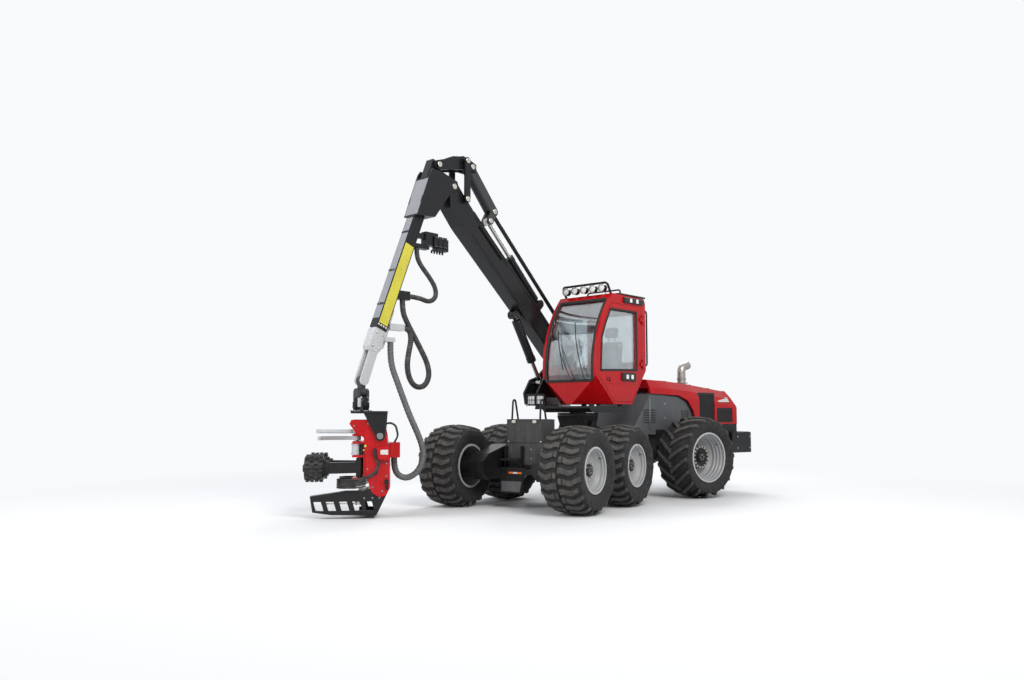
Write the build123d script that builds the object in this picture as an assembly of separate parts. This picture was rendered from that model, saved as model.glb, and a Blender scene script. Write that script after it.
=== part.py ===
from build123d import *
import os
from math import atan2, cos, degrees, hypot, radians, sin, tan

# Six-wheeled forestry harvester, in millimetres
# The origin is on the ground in the middle of the machine's bounding box,
# +X forward along the front frame, +Y to the left, +Z up.

# Where the front frame stands in the machine's frame
BOGIE_X = 915.0
CENTRE_Y = 45.0

# Fits
FIT = 0.3
PIN_FIT = 0.3
GAP = 8.0

# Wheels on the front bogies
FRONT_RADIUS = 675.0
FRONT_RIM = 357.0
BOGIE_BASE = 1500.0
# Wheels on the rear axle
REAR_RADIUS = 740.0
REAR_RIM = 452.0
# Common to both kinds of wheel
TYRE_WIDTH = 710.0
CROWN_DROP = 50.0
SHOULDER_INSET = 25.0
# Tread bars of each side: how many, height, width, skew in degrees, start off the middle
FLOTATION_TREAD = {"count": 10, "height": 38.0, "width": 100.0, "skew": -20.0, "start": -20.0}
TRACTION_TREAD = {"count": 12, "height": 52.0, "width": 66.0, "skew": -33.0, "start": 15.0}
TRACK = 2300.0
RIM_WIDTH = 590.0
FLANGE_HEIGHT = 17.0
FLANGE_THICK = 14.0
RIM_WALL = 14.0
RIM_STEP = 20.0
FRONT_DISC_INSET = 120.0
REAR_DISC_INSET = 280.0
DISC_THICK = 18.0
SPINDLE_RADIUS = 70.0
HUB_RADIUS = 165.0
REAR_HUB_RADIUS = 215.0

# Bogies
PIVOT_Z = 800.0
TRUNNION_RADIUS = 150.0
CASE_INNER = 455.0
CASE_WIDTH = 290.0
BOGIE_STUB_RADIUS = 190.0

# Front frame
FRAME_HALF = 380.0
FRAME_LOW = 620.0
FRAME_HIGH = 1180.0
FRAME_NOSE_X = 430.0
TOOL_BOX_LOW = 1040.0
TOOL_BOX_HIGH = 1430.0
TOOL_BOX_HALF = 350.0
TOOL_BOX_LENGTH = 370.0
LADDER_WIDTH = 340.0
LADDER_LOW = 260.0
LADDER_Y = -190.0

# Articulation
JOINT_X = -1500.0
JOINT_PIN_RADIUS = 60.0
STEER_REST = -20.0
TONGUE_LOW = 706.0
TONGUE_HIGH = 954.0
TONGUE_HALF = 190.0
LUG_THICK = 60.0

# Rear frame, measured back from the articulation
REAR_AXLE_X = -1820.0
AXLE_RADIUS = 130.0
CHASSIS_HALF = 350.0
CHASSIS_LOW = 620.0
CHASSIS_HIGH = 1150.0
HOOD_FRONT_X = -1190.0
HOOD_REAR_X = -3640.0
HOOD_FRONT_Z = 2210.0
HOOD_REAR_Z = 1990.0
HOOD_HALF = 700.0
HOOD_SHOULDER = 520.0
HOOD_WALL = 40.0
PANEL_FRONT_X = -690.0
PANEL_HALF = 660.0
PANEL_WALL = 30.0
PANEL_LOW = 1235.0
SEAM = 6.0
ARCH_RADIUS = 880.0
GRILLE_LOW = 1330.0
SLOT_PITCH = 55
SLOT_HEIGHT = 30
BUMPER_REAR_X = -3780.0
BUMPER_LENGTH = 640.0
BUMPER_HALF = 950.0
BUMPER_LOW = 770.0
BUMPER_HIGH = 1170.0
# Towing jaw in the bumper's rear face, with its upright pin hole
TOW_PIN_X = BUMPER_REAR_X + 75.0
TOW_PIN_RADIUS = 25.0
TOW_JAW_HALF = 70.0
TOW_JAW_LOW = 900.0
TOW_JAW_HIGH = 990.0
STACK_X = -2390.0
STACK_Y = 330.0
STACK_RADIUS = 80.0
STACK_HEIGHT = 340.0
STACK_REACH = 190.0
STACK_RISE = 60.0
STACK_BEND = 110.0
STACK_WALL = 5.0
ENGINE_LENGTH = 1150.0
ENGINE_WIDTH = 720.0
ENGINE_HEIGHT = 800.0

# Slewing upper part, measured from the slewing axis
SLEW_X = -1400.0
SLEW_REST = -10.0
DECK_LOW = 1100.0
DECK_HIGH = 1250.0
DECK_HALF = 420.0
EAR_Y = 300.0
EAR_THICK = 60.0
TILT_Z = 1350.0
TILT_PIN_RADIUS = 40.0
RING_RADIUS = 370.0
RING_LOW = 1490.0
RING_THICK = 60.0
RING_GAP = 5.0
SPIGOT_RADIUS = 150.0
PLATFORM_THICK = 110.0

# Cab
CRANE_ARM_LOW = 1700.0
CRANE_ARM_HIGH = 1830.0
CRANE_ARM_REAR = -290.0
CRANE_ARM_FRONT = 420.0
CAB_CENTRE_Y = 220.0
CAB_WIDTH = 1200.0
CAB_FRONT = 530.0
CAB_REAR = -1000.0
CAB_FLOOR = 1700.0
CAB_ROOF = 3680.0
CAB_WALL = 60.0
POD_DEPTH = 38.0
CHAMFER_Z = 2190.0
CHAMFER_Y = 540.0
CHAMFER_X = 520.0
GLASS = 10.0
DOOR_GAP = 6.0
HINGE_X = -885.0
HINGE_Y = 838.0
HINGE_PIN = 8.0
HINGE_HIGH = 80.0
HINGE_LEVELS = (2440.0, 3260.0)

# Crane, in the plane of its boom: forward from the slewing axis, and up
CRANE_Y = -750.0
BOOM_FOOT = (-450.0, 2500.0)
BOOM_TIP = (2560.0, 5350.0)
STAY_FOOT = (-850.0, 2860.0)
STAY_TOP = (1500.0, 5120.0)
PUSH_TOP = (2090.0, 5800.0)
ROCKER_FOOT = (2290.0, 5180.0)
KNEE = (2290.0, 5850.0)
JIB_TOP = (2900.0, 5660.0)
JIB_END = (4010.0, 2830.0)
RAM_FOOT = (242.0, 3588.0)
RAM_EYE = (1602.0, 4938.0)
LIFT_FOOT = (180.0, 2110.0)
LIFT_EYE = (915.0, 3325.0)
HANG_PIN = (4310.0, 2030.0)
VALVE_AT = (3040.0, 4420.0)

# Widths of the crane's pieces, as bands off its middle
CLEAR = 8.0
BOOM_HALF = 130.0
CHEEK_IN = 138.0
CHEEK_THICK = 30.0
ROCKER_IN = 176.0
TOP_LINK_IN = 94.0
LINK_THICK = 34.0
PUSH_HALF = 86.0
EYE_HALF = 42.0
NOSE_IN = 50.0
PIN_RADIUS = 40.0
EYE_RADIUS = 75.0
JIB_WIDTH = 170.0
JIB_DEPTH = 210.0
JIB_WALL = 14.0
HEAD_SOLID = 1000.0
EXTENSION_SHOW = 330.0

# Rams
RAM_RADIUS = 68.0
LIFT_RADIUS = 80.0
GLAND_STEP = 7.0
RAM_ROD_RADIUS = 38.0
RAM_SHARE = 0.58
LIFT_SHARE = 0.68
RAM_ROD_START = 790.0
LIFT_ROD_START = 512.0
STAY_RADIUS = 38.0

# Hanger and rotator
CROSS_Z = 1850.0
ROTATOR_HIGH = 1760.0
ROTATOR_LOW = 1575.0
ROTATOR_RADIUS = 120.0

# Head, with +X towards the tree from the rotator's axis
HEAD_TURN = -40.0
HEAD_HALF = 315.0
HEAD_LOW = 45.0
TILT_X = -300.0
TILT_PIN_Z = 1200.0
STEM_X = 330.0
KNIFE_X = 60.0
KNIFE_RADIUS = 300.0
KNIFE_HIGH = 60.0
KNIFE_PIN = 22.0
KNIFE_Y = 220.0
KNIFE_PIVOTS = (1200.0, 1090.0)
ARM_X = 0.0
ARM_Y = 200.0
ROLLER_Y = 330.0
ARM_LOW = 600.0
ARM_HIGH = 880.0
ARM_PIN = 25.0
ROLLER_X = 500.0
ROLLER_Z = 740.0
ROLLER_RADIUS = 200.0
ROLLER_WIDTH = 260.0
STUD_HEIGHT = 28.0
STUD_RINGS = 4
STUD_COUNT = 11
SAW_HALF = 290.0
SAW_X = 0.0
SAW_Y = 205.0
SAW_INNER = 130.0

# Hoses: points along them, the third in the head's frame, the others in the slewing part's
HOSE_RADII = (40.0, 45.0, 48.0)
HOSE_A = [
    (3270, -720, 4210), (3270, -720, 4060), (3160, -715, 3910), (3000, -705, 3760), (2865, -700, 3590),
    (2865, -700, 3430), (3010, -705, 3345), (3220, -710, 3400), (3440, -710, 3400),
]
HOSE_B = [
    (3560, -715, 3330), (3560, -715, 3150), (3470, -700, 2970), (3350, -690, 2790), (3195, -680, 2560),
    (3050, -680, 2340), (3005, -680, 2130), (3110, -685, 1960), (3300, -690, 1950), (3430, -690, 2090),
    (3475, -690, 2300), (3435, -690, 2520), (3385, -695, 2710), (3420, -700, 2880), (3560, -700, 2880),
]
HOSE_C = [
    (-420, -285, 2640), (-420, -285, 2450), (-450, -262, 2240), (-530, -240, 2030), (-626, -215, 1770),
    (-730, -190, 1500), (-850, -165, 1240), (-935, -145, 1020), (-945, -130, 820), (-860, -115, 640),
    (-700, -105, 545), (-555, -98, 600), (-500, -95, 740), (-500, -95, 880),
]

# Where the third hose starts, forward from the slewing axis and up
HOSE_C_TOP = (3805.0, 2640.0)

FRONT = Pos(BOGIE_X, CENTRE_Y, 0)
REAR = FRONT * Pos(JOINT_X, 0, 0) * Rot(0, 0, STEER_REST)
SLEW = FRONT * Pos(SLEW_X, 0, 0)
TURRET = SLEW * Rot(0, 0, SLEW_REST)
HEAD = TURRET * Pos(HANG_PIN[0], CRANE_Y, 0) * Rot(0, 0, HEAD_TURN)


# Shared shapes

def block(x, y, z):
    """Box between three (low, high) pairs."""
    size = Box(x[1] - x[0], y[1] - y[0], z[1] - z[0])
    return Pos((x[0] + x[1]) / 2, (y[0] + y[1]) / 2, (z[0] + z[1]) / 2) * size


def side_plate(outline, y):
    """Outline of (x, z) points, thick from y[0] to y[1]."""
    wire = Polyline(*[(px, y[0], pz) for px, pz in outline], close=True)
    return extrude(make_face(wire), amount=y[1] - y[0], dir=(0, 1, 0))


def side_shape(edges, y):
    """Closed outline of edges in the XZ plane at y = 0, thick from y[0] to y[1]."""
    face = Pos(0, y[0], 0) * make_face(edges)
    return extrude(face, amount=y[1] - y[0], dir=(0, 1, 0))


def drum(x, z, radius, y):
    """Cylinder along Y from y[0] to y[1]."""
    return Pos(x, (y[0] + y[1]) / 2, z) * Rot(90, 0, 0) * Cylinder(radius, y[1] - y[0])


def post(x, y, radius, z):
    """Cylinder along Z from z[0] to z[1]."""
    return Pos(x, y, (z[0] + z[1]) / 2) * Cylinder(radius, z[1] - z[0])


def bar(start, end, radius):
    """Round bar between two points."""
    along = Vector(*end) - Vector(*start)
    return extrude(Plane(origin=start, z_dir=along) * Circle(radius), amount=along.length)


def pipe(points, radius, bend):
    """Round tube through points, with bends of one radius or of a list of radii."""
    path = FilletPolyline(*points, radius=bend)
    return sweep(Plane(origin=path @ 0, z_dir=path % 0) * Circle(radius), path=path)


def both_sides(shape):
    """A shape and its mirror image across the XZ plane."""
    return shape + mirror(shape, about=Plane.XZ)


def in_plane(point, y):
    """A point of the crane's plane as a 3-D point at a sideways place."""
    return (point[0], y, point[1])


def aim(start, end):
    """Length and angle in degrees from one point of the crane's plane to another."""
    dx = end[0] - start[0]
    dz = end[1] - start[1]
    return hypot(dx, dz), degrees(atan2(dz, dx))


def along(start, end, distance, rise=0.0):
    """Point at a distance along the line from start to end, and square to it."""
    length, angle = aim(start, end)
    c, s = cos(radians(angle)), sin(radians(angle))
    return (start[0] + distance * c - rise * s, start[1] + distance * s + rise * c)


# Wheels, each about its own centre, with its outer face towards +Y

def crown(radius, y):
    """Radius of the tread's envelope at a place across the tyre."""
    return radius - CROWN_DROP * (y / (TYRE_WIDTH / 2 - SHOULDER_INSET)) ** 2


def tread_bar(radius, tread):
    """Left tread bar at the tyre's top, from its middle out to the shoulder."""
    turn = radians(tread["skew"])
    inside = crown(radius, 0) - tread["height"] - SHOULDER_INSET
    places = [tread["start"], TYRE_WIDTH * 0.27, TYRE_WIDTH / 2 - SHOULDER_INSET + 4]
    top = []
    for y in places:
        side = y * tan(turn)
        top.append((y / cos(turn), (crown(radius, y) ** 2 - side ** 2) ** 0.5))
    outline = [(top[0][0], inside)] + top + [(top[-1][0], inside - CROWN_DROP)]
    face = make_face(Plane.YZ * Polyline(*outline, close=True))
    return Rot(0, 0, tread["skew"]) * extrude(face, amount=tread["width"] / 2, dir=(1, 0, 0), both=True)


def tyre(radius, rim_radius, tread):
    """Carcass with its tread bars fused on, out to their tips."""
    bar_left = tread_bar(radius, tread)
    bar_right = mirror(bar_left, about=Plane.XZ)
    pitch = 360 / tread["count"]
    bars = []
    for i in range(tread["count"]):
        bars.append(Rot(0, 180 + i * pitch, 0) * bar_left)
        bars.append(Rot(0, 180 + (i + 0.5) * pitch, 0) * bar_right)
    return carcass(radius - tread["height"], rim_radius).fuse(*bars)


def carcass(radius, rim_radius):
    """Ring of the tyre up to the ground between its tread bars."""
    bore = rim_radius - FLANGE_HEIGHT
    seat = RIM_WIDTH / 2
    half = TYRE_WIDTH / 2
    bead = rim_radius + FIT
    bulge = (rim_radius + radius) / 2
    shoulder = (radius - CROWN_DROP, half - SHOULDER_INSET)
    edges = [
        Line((bore, -seat), (bead, -seat)),
        ThreePointArc((bead, -seat), (bulge, -half), (shoulder[0], -shoulder[1])),
        ThreePointArc((shoulder[0], -shoulder[1]), (radius, 0), shoulder),
        ThreePointArc(shoulder, (bulge, half), (bead, seat)),
        Line((bead, seat), (bore, seat)),
        Line((bore, seat), (bore, -seat)),
    ]
    return revolve(make_face(edges), axis=Axis.Y)


def rim(rim_radius, inset, hub_radius, hub_out, hub_in, steps):
    """Dished wheel with a flanged barrel stepped inwards, its disc and its hub drum."""
    seat = RIM_WIDTH / 2
    outer = rim_radius - FLANGE_HEIGHT - FIT
    inner = outer - RIM_WALL
    disc = seat - inset
    edge = seat + FIT
    lip = edge + FLANGE_THICK
    outline = [
        (inner, -lip),
        (rim_radius, -lip),
        (rim_radius, -edge),
        (outer, -edge),
        (outer, edge),
        (rim_radius, edge),
        (rim_radius, lip),
        (inner, lip),
    ]
    drop = (lip - disc - 60) / (steps + 1)
    for i in range(1, steps + 1):
        outline.append((inner - (i - 1) * RIM_STEP, lip - i * drop + 12))
        outline.append((inner - i * RIM_STEP, lip - i * drop - 8))
    well = inner - steps * RIM_STEP
    outline += [
        (well, disc + 60),
        (well - 50, disc),
        (hub_radius, disc),
        (hub_radius, disc + hub_out),
        (SPINDLE_RADIUS + PIN_FIT, disc + hub_out),
        (SPINDLE_RADIUS + PIN_FIT, disc - hub_in),
        (hub_radius, disc - hub_in),
        (hub_radius, disc - DISC_THICK),
        (well - 55, disc - DISC_THICK),
        (inner, disc + 35 - DISC_THICK),
    ]
    return revolve(make_face(Polyline(*outline, close=True)), axis=Axis.Y)


def placed_wheel(shape, x, z, side):
    """A wheel piece at its axle, on the left (1) or right (-1) side."""
    turned = shape if side > 0 else mirror(shape, about=Plane.XZ)
    return Pos(x, side * TRACK / 2, z) * turned


def front_rim():
    return rim(FRONT_RIM, FRONT_DISC_INSET, HUB_RADIUS, 10, 110, 1)


def rear_rim():
    return rim(REAR_RIM, REAR_DISC_INSET, REAR_HUB_RADIUS, 90, 110, 3)


# Bogies

def bogie(side):
    """Gear case of one bogie, with the stubs that carry its wheels."""
    half = BOGIE_BASE / 2
    outline = [
        (-half - 210, FRONT_RADIUS - 90),
        (-half - 210, FRONT_RADIUS + 90),
        (-half - 60, FRONT_RADIUS + 210),
        (-260, PIVOT_Z + 220),
        (260, PIVOT_Z + 220),
        (half + 60, FRONT_RADIUS + 210),
        (half + 210, FRONT_RADIUS + 90),
        (half + 210, FRONT_RADIUS - 90),
        (half + 60, FRONT_RADIUS - 210),
        (-half - 60, FRONT_RADIUS - 210),
    ]
    out = CASE_INNER + CASE_WIDTH
    case = side_plate(outline, (CASE_INNER, out))
    disc_y = TRACK / 2 + RIM_WIDTH / 2 - FRONT_DISC_INSET
    stub_end = disc_y - 110 - GAP
    for x in (-half, half):
        case += drum(x, FRONT_RADIUS, BOGIE_STUB_RADIUS, (out, stub_end))
        case += drum(x, FRONT_RADIUS, SPINDLE_RADIUS, (stub_end, disc_y))
    case -= drum(0, PIVOT_Z, TRUNNION_RADIUS + PIN_FIT, (CASE_INNER, out - 60))
    return case if side > 0 else mirror(case, about=Plane.XZ)


# Front frame

def front_frame():
    """Welded frame with bogie trunnions, joint tongue, slewing deck and tilt ears."""
    outline = [
        (JOINT_X + 230, FRAME_LOW),
        (FRAME_NOSE_X - 80, FRAME_LOW),
        (FRAME_NOSE_X, FRAME_LOW + 80),
        (FRAME_NOSE_X, TOOL_BOX_LOW),
        (FRAME_NOSE_X - TOOL_BOX_LENGTH, TOOL_BOX_LOW),
        (FRAME_NOSE_X - TOOL_BOX_LENGTH - 60, FRAME_HIGH),
        (SLEW_X + 420, DECK_HIGH),
        (SLEW_X - DECK_HALF, DECK_HIGH),
        (SLEW_X - DECK_HALF, DECK_LOW),
        (JOINT_X + 230, DECK_LOW),
    ]
    frame = side_plate(outline, (-FRAME_HALF, FRAME_HALF))
    tongue_x = JOINT_X - JOINT_PIN_RADIUS - 60
    frame += block((tongue_x, JOINT_X + 240), (-TONGUE_HALF, TONGUE_HALF), (TONGUE_LOW, TONGUE_HIGH))
    frame -= post(JOINT_X, 0, JOINT_PIN_RADIUS + PIN_FIT, (TONGUE_LOW - 1, TONGUE_HIGH + 1))
    frame += drum(0, PIVOT_Z, TRUNNION_RADIUS, (-CASE_INNER - CASE_WIDTH + 70, CASE_INNER + CASE_WIDTH - 70))
    for y in (-EAR_Y, EAR_Y):
        span = (y - EAR_THICK / 2, y + EAR_THICK / 2)
        ear = side_plate(
            [(SLEW_X - 150, DECK_HIGH), (SLEW_X + 150, DECK_HIGH), (SLEW_X + 60, TILT_Z + 60), (SLEW_X - 60, TILT_Z + 60)],
            span,
        )
        frame += ear
    frame += drum(SLEW_X, TILT_Z, TILT_PIN_RADIUS, (-EAR_Y, EAR_Y))
    return frame


def tool_box():
    """Box on the nose, with its lid's lip and a plain front plate."""
    rear = FRAME_NOSE_X - TOOL_BOX_LENGTH
    box = block((rear, FRAME_NOSE_X), (-TOOL_BOX_HALF, TOOL_BOX_HALF), (TOOL_BOX_LOW, TOOL_BOX_HIGH))
    box -= block((rear + 20, FRAME_NOSE_X - 12), (-TOOL_BOX_HALF + 12, TOOL_BOX_HALF - 12), (TOOL_BOX_LOW + 12, TOOL_BOX_HIGH - 12))
    box += block((FRAME_NOSE_X, FRAME_NOSE_X + 14), (-TOOL_BOX_HALF + 20, TOOL_BOX_HALF - 20), (TOOL_BOX_LOW + 25, TOOL_BOX_HIGH - 60))
    return box


def ladder():
    """Boarding ladder under the nose, with three steps, and two tube hoops on the box."""
    x = FRAME_NOSE_X
    low, high = LADDER_LOW, TOOL_BOX_LOW - 40
    y0, y1 = LADDER_Y - LADDER_WIDTH / 2, LADDER_Y + LADDER_WIDTH / 2
    rails = block((x, x + 60), (y0, y0 + 30), (low, high)) + block((x, x + 60), (y1 - 30, y1), (low, high))
    for step in (low + 10, low + 260, low + 510):
        rails += block((x, x + 180), (y0, y1), (step, step + 30))
    base = TOOL_BOX_HIGH
    hoops = None
    for x, y in ((FRAME_NOSE_X - 60, -TOOL_BOX_HALF + 90), (FRAME_NOSE_X - 60, TOOL_BOX_HALF - 70)):
        hoop = pipe([(x - 155, y, base - 18), (x - 60, y, base + 330), (x + 10, y, base + 330), (x + 42, y, base - 18)], 16, 45)
        hoop -= block((x - 300, x + 300), (y - 60, y + 60), (base - 60, base))
        hoops = hoop if hoops is None else hoops + hoop
    return rails + hoops


# Rear frame, in its own frame at the articulation

def rear_frame():
    """Chassis with the fork that holds the joint's tongue."""
    outline = [
        (-560, CHASSIS_LOW),
        (BUMPER_REAR_X + BUMPER_LENGTH, CHASSIS_LOW + 120),
        (BUMPER_REAR_X + BUMPER_LENGTH, CHASSIS_HIGH),
        (-620, CHASSIS_HIGH),
        (-560, TONGUE_HIGH + 8 + LUG_THICK),
    ]
    frame = side_plate(outline, (-CHASSIS_HALF, CHASSIS_HALF))
    for low in (TONGUE_LOW - 6 - LUG_THICK, TONGUE_HIGH + 6):
        lug = block((-600, 0), (-170, 170), (low, low + LUG_THICK)) + post(0, 0, 170, (low, low + LUG_THICK))
        frame += lug
    frame += post(0, 0, JOINT_PIN_RADIUS, (TONGUE_LOW - LUG_THICK, TONGUE_HIGH + LUG_THICK))
    slot = block((REAR_AXLE_X - 190, REAR_AXLE_X + 190), (-CHASSIS_HALF - 1, CHASSIS_HALF + 1), (0, REAR_RADIUS + 190))
    return frame - slot


def rear_axle():
    """Axle beam with its middle housing and the spindles."""
    disc_y = TRACK / 2 + RIM_WIDTH / 2 - REAR_DISC_INSET
    end = disc_y - 110 - GAP
    beam = drum(REAR_AXLE_X, REAR_RADIUS, AXLE_RADIUS, (-end, end))
    beam += drum(REAR_AXLE_X, REAR_RADIUS, SPINDLE_RADIUS, (-disc_y, disc_y))
    beam += Pos(REAR_AXLE_X, 0, REAR_RADIUS) * Sphere(185)
    for y in (-280, 280):
        beam += block((REAR_AXLE_X - 100, REAR_AXLE_X + 100), (y - 60, y + 60), (REAR_RADIUS, REAR_RADIUS + 190))
    return beam


def hood_top(x):
    """Height of the hood's ridge at a place along it."""
    share = (HOOD_FRONT_X - x) / (HOOD_FRONT_X - HOOD_REAR_X)
    return HOOD_FRONT_Z + (HOOD_REAR_Z - HOOD_FRONT_Z) * share ** 1.6


def hood_section(x, half, shoulder, top, low):
    """Half-open outline of the hood across the machine."""
    return Polyline(
        (x, -half, low), (x, -half, top - 330), (x, -half + 40, top - 190), (x, -shoulder, top - 40), (x, 0, top),
        (x, shoulder, top - 40), (x, half - 40, top - 190), (x, half, top - 330), (x, half, low),
        close=True,
    )


def hood_body(inset):
    """Loft through the hood's sections, smaller by an inset all round."""
    front = HOOD_FRONT_X - inset
    rear = HOOD_REAR_X + inset
    low = GRILLE_LOW - (50 if inset else 0)
    # place along, half width
    rows = (
        (front, HOOD_HALF - 60),
        (front - 500, HOOD_HALF - 10),
        (REAR_AXLE_X - 500, HOOD_HALF),
        (rear + 300, HOOD_HALF - 20),
    )
    sections = [
        make_face(hood_section(x, half - inset, HOOD_SHOULDER - inset, hood_top(x) - inset, low))
        for x, half in rows
    ]
    body = loft(sections, ruled=True)
    tail = [(rear + 300, low), (rear, low), (rear, low + 330), (rear + 120, hood_top(rear) - 170 - inset), (rear + 300, hood_top(rear) + 400)]
    last = hood_section(rear + 300, HOOD_HALF - 20 - inset, HOOD_SHOULDER - inset, hood_top(rear + 300) - inset, low)
    end = extrude(make_face(last), amount=300, dir=(-1, 0, 0))
    end = end & side_plate(tail, (-1000, 1000))
    return body + end


def hood_edge(gap):
    """Points of the red hood's lower edge, moved up and back by a gap."""
    top = HOOD_FRONT_Z - 306
    # place along, drop below the front end's height
    rows = ((HOOD_FRONT_X + 20, 0), (-1900, 30), (-2150, 130), (-2300, 330), (-2370, 574))
    return [(x - gap, top - drop + gap) for x, drop in rows]


def engine_hood():
    """Red hood: a shell, open below, with openings for the side grilles."""
    hood = hood_body(0) - hood_body(HOOD_WALL)
    edge = hood_edge(SEAM)
    hood -= side_plate([(0, edge[0][1])] + edge + [(edge[-1][0], 0), (0, 0)], (-1000, 1000))
    hood -= block((-2950, -2480), (-1000, 1000), (GRILLE_LOW + 60, 1930))
    hood -= block((-3500, -3010), (-1000, 1000), (GRILLE_LOW + 30, 1650))
    hood -= block((HOOD_REAR_X - 10, HOOD_REAR_X + 100), (-480, 480), (GRILLE_LOW + 60, 1640))
    hood -= block((HOOD_FRONT_X - 60, HOOD_FRONT_X + 60), (-560, 560), (0, HOOD_FRONT_Z - 200))
    return hood


def side_panels():
    """Grey panels between the cab and the rear arch, left and right."""
    edge = hood_edge(0)
    outline = [(PANEL_FRONT_X, PANEL_LOW)] + edge + [(edge[-1][0], PANEL_LOW)]
    left = side_plate(outline, (HOOD_HALF - 60 - PANEL_WALL, HOOD_HALF - 60))
    front = side_plate(
        [(PANEL_FRONT_X, PANEL_LOW), (HOOD_FRONT_X + 20, HOOD_FRONT_Z - 306), (HOOD_FRONT_X - 20, HOOD_FRONT_Z - 306), (PANEL_FRONT_X - 40, PANEL_LOW)],
        (-HOOD_HALF + 60 + PANEL_WALL, HOOD_HALF - 60 - PANEL_WALL),
    )
    shelf = block((-1300, PANEL_FRONT_X), (-HOOD_HALF + 60, HOOD_HALF - 60), (CHASSIS_HIGH, PANEL_LOW))
    return both_sides(left) + front + shelf


def grilles():
    """Dark grille panels set in the hood's openings, left, right and rear."""
    # rear end, front end, low, high
    rows = ((-2950, -2480, GRILLE_LOW + 60, 1930), (-3500, -3010, GRILLE_LOW + 30, 1650))
    out = None
    for x0, x1, z0, z1 in rows:
        panel = block((x0 + FIT, x1 - FIT), (HOOD_HALF - 65, HOOD_HALF - 35), (z0 + FIT, z1 - FIT))
        for z in range(int(z0) + 35, int(z1) - 45, SLOT_PITCH):
            panel -= block((x0 + 30, x1 - 30), (HOOD_HALF - 47, HOOD_HALF - 30), (z, z + SLOT_HEIGHT))
        pair = both_sides(panel)
        out = pair if out is None else out + pair
    back = block((HOOD_REAR_X + 5, HOOD_REAR_X + 35), (-480 + FIT, 480 - FIT), (GRILLE_LOW + 60 + FIT, 1640 - FIT))
    for z in range(int(GRILLE_LOW) + 85, 1600, SLOT_PITCH):
        back -= block((HOOD_REAR_X, HOOD_REAR_X + 17), (-450, 450), (z, z + SLOT_HEIGHT))
    return out + back


def counterweight():
    """Rear bumper with stepped top edges."""
    front = BUMPER_REAR_X + BUMPER_LENGTH
    body = block((BUMPER_REAR_X, front), (-BUMPER_HALF, BUMPER_HALF), (BUMPER_LOW, BUMPER_HIGH))
    body = chamfer(body.edges().filter_by(Axis.Z).group_by(Axis.X)[0], 60)
    body += block((HOOD_REAR_X, front - 20), (-HOOD_HALF + 30, HOOD_HALF - 30), (BUMPER_HIGH, GRILLE_LOW))
    body -= block((BUMPER_REAR_X - 1, TOW_PIN_X + TOW_JAW_HALF), (-TOW_JAW_HALF, TOW_JAW_HALF), (TOW_JAW_LOW, TOW_JAW_HIGH))
    body -= post(TOW_PIN_X, 0, TOW_PIN_RADIUS, (BUMPER_LOW + 60, BUMPER_HIGH + 1))
    return body


def exhaust_stack():
    """Elbow on the hood, open at its end."""
    base = hood_top(STACK_X) - 40
    bend = (STACK_X, STACK_Y, base + STACK_HEIGHT)
    end = (bend[0] - STACK_REACH, STACK_Y, bend[2] + STACK_RISE)
    over = (end[0] - STACK_REACH / 100, STACK_Y, end[2] + STACK_RISE / 100)
    outlet = bar(over, ((bend[0] + 2 * end[0]) / 3, STACK_Y, (bend[2] + 2 * end[2]) / 3), STACK_RADIUS - STACK_WALL)
    return pipe([(STACK_X, STACK_Y, base), bend, end], STACK_RADIUS, STACK_BEND) - outlet - hood_body(0)


def engine_block():
    """Plain block for the engine's mass inside the hood."""
    x1 = REAR_AXLE_X + 250
    return block((x1 - ENGINE_LENGTH, x1), (-ENGINE_WIDTH / 2, ENGINE_WIDTH / 2), (CHASSIS_HIGH, CHASSIS_HIGH + ENGINE_HEIGHT))


# Slewing part, in its own frame on the slewing axis

def levelling_frame():
    """Tilting carrier of the slewing ring, on the pin between the deck's ears."""
    inner = EAR_Y - EAR_THICK / 2 - GAP
    hub = side_plate(
        [(-200, TILT_Z - 45), (200, TILT_Z - 45), (300, RING_LOW), (-300, RING_LOW)],
        (-inner, inner),
    )
    hub -= drum(0, TILT_Z, TILT_PIN_RADIUS + PIN_FIT, (-inner - 1, inner + 1))
    hub += post(0, 0, RING_RADIUS, (RING_LOW, RING_LOW + RING_THICK))
    hub += post(0, 0, SPIGOT_RADIUS, (RING_LOW, RING_LOW + RING_THICK + RING_GAP + 60))
    return hub


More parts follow.
